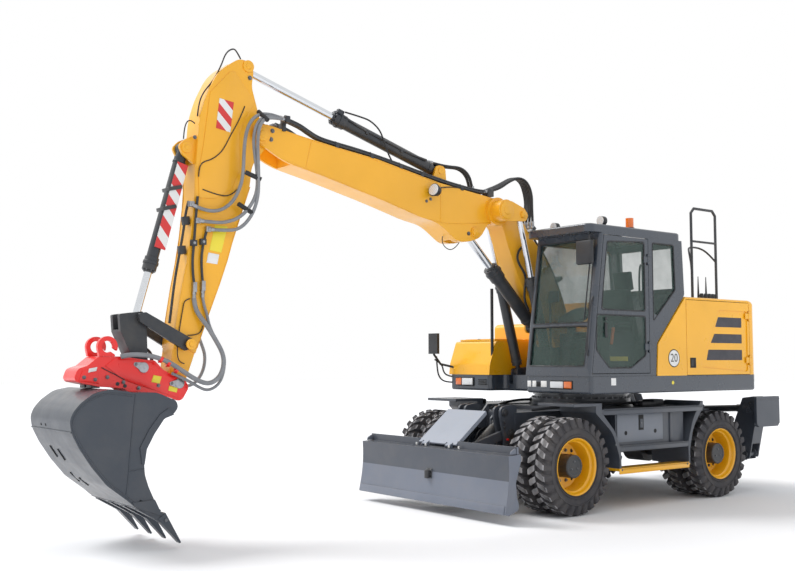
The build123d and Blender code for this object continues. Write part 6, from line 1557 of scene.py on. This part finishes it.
def makeDoorTrim(side, handed):
    mesh = bmesh.new()
    for outline in hood["louvres"]:
        addPlate(mesh, outline, side * (hood["pocketFace"] - 0.0020), 0.004, 0.001)
    x, z = hood["latch"]
    face = hood["face"]
    addPlate(mesh, oblong(x - 0.055, x + 0.055, z - 0.060, z + 0.060), side * (face + 0.0010), 0.005, 0.002, 1)
    addPlate(mesh, oblong(x - 0.002, x + 0.038, z - 0.040, z + 0.040), side * (face + 0.0036), 0.003, 0.001, 2)
    finishPiece(mesh, "hoodLouvres" + handed.capitalize(), "engine_door_" + handed,
                ["mesh", "black", "plastic"])


def makeSpeedDisc():
    x, z = hood["disc"]
    y, radius = hood["face"], hood["discRadius"]
    mesh = bmesh.new()
    addSideRod(mesh, x, z, y, 1, -0.004, 0.0015, radius, 56)
    addSideRod(mesh, x, z, y, 1, -0.004, 0.0025, radius * hood["discRing"], 56, index=1)
    finishPiece(mesh, "speedDisc", "upper", ["black", "white"])
    words = bpy.data.curves.new("speedFigure", "FONT")
    words.body = hood["figure"]
    words.size = hood["figureSize"]
    words.align_x = words.align_y = "CENTER"
    words.extrude = 0.0002
    figure = bpy.data.objects.new("speedFigure", words)
    shape = bpy.data.meshes.new_from_object(figure)
    bpy.data.objects.remove(figure)
    mesh = bmesh.new()
    mesh.from_mesh(shape)
    bpy.data.meshes.remove(shape)
    turnPart(mesh, 90, "X")
    turnPart(mesh, 180, "Z")
    bmesh.ops.translate(mesh, vec=(x, y + 0.0028, z), verts=mesh.verts)
    finishPiece(mesh, "speedFigure", "upper", ["black"])


def makeHoodFittings():
    mesh = bmesh.new()
    top = hood["top"]
    for x, y in hood["caps"]:
        addRod(mesh, (x, y, top), (x, y, 2.480), 0.030, 0.022, segments=24, bevel=0.006)
        addRod(mesh, (x, -y, top), (x, -y, 2.440), 0.030, segments=24, bevel=0.006)
    for x in hood["aerials"]:
        addRod(mesh, (x, 0.900, top), (x, 0.900, 2.700), 0.016, 0.005, segments=16)
    addTube(mesh, hood["rail"], 0.012)
    addBox(mesh, *hood["screen"])
    finishPiece(mesh, "hoodFittings", "upper", ["plastic"])
    mesh = bmesh.new()
    for points in hood["mirrorLoop"]:
        addTube(mesh, points, 0.010)
    finishPiece(mesh, "mirrorLoop", "upper", ["plastic"])


roof = {"plateTop": 3.156, "beaconFoot": 3.170, "beaconX": 0.5, "glassX": 0.860}
boxTrim = (1.082, 0.96, 1.890, 1.252)  # front face, lid from x, lid from z, side face


def roofFinish(face):
    # plate, plastic feet, beacon at the back, lamp glass at the front
    x, z = face.center.x, face.center.z
    if z < roof["plateTop"]:
        return 0
    if z > roof["beaconFoot"] and x < roof["beaconX"]:
        return 2
    return 3 if x > roof["glassX"] else 1


def boxFinish(face):
    x, y, z = face.center
    front, lidX, lidZ, side = boxTrim
    return 1 if x > front or (z > lidZ and x > lidX) or y < -side else 0


def hoodFinish(face):
    return 1 if face.center.z > hood["exhaustFoot"] else 0


paintFaces("engine_hood", ["darkGrey"], hoodFinish)
paintFaces("cab_roof", ["plastic", "lampOrange", "lampClear"], roofFinish)
paintFaces("right_box", ["plastic"], boxFinish)
makeSeals()
makeSeat()
makeCabFittings()
makeLamps()
makeDoorTrim(1, "left")
makeDoorTrim(-1, "right")
makeSpeedDisc()
makeHoodFittings()
print("cab and hood dressed")
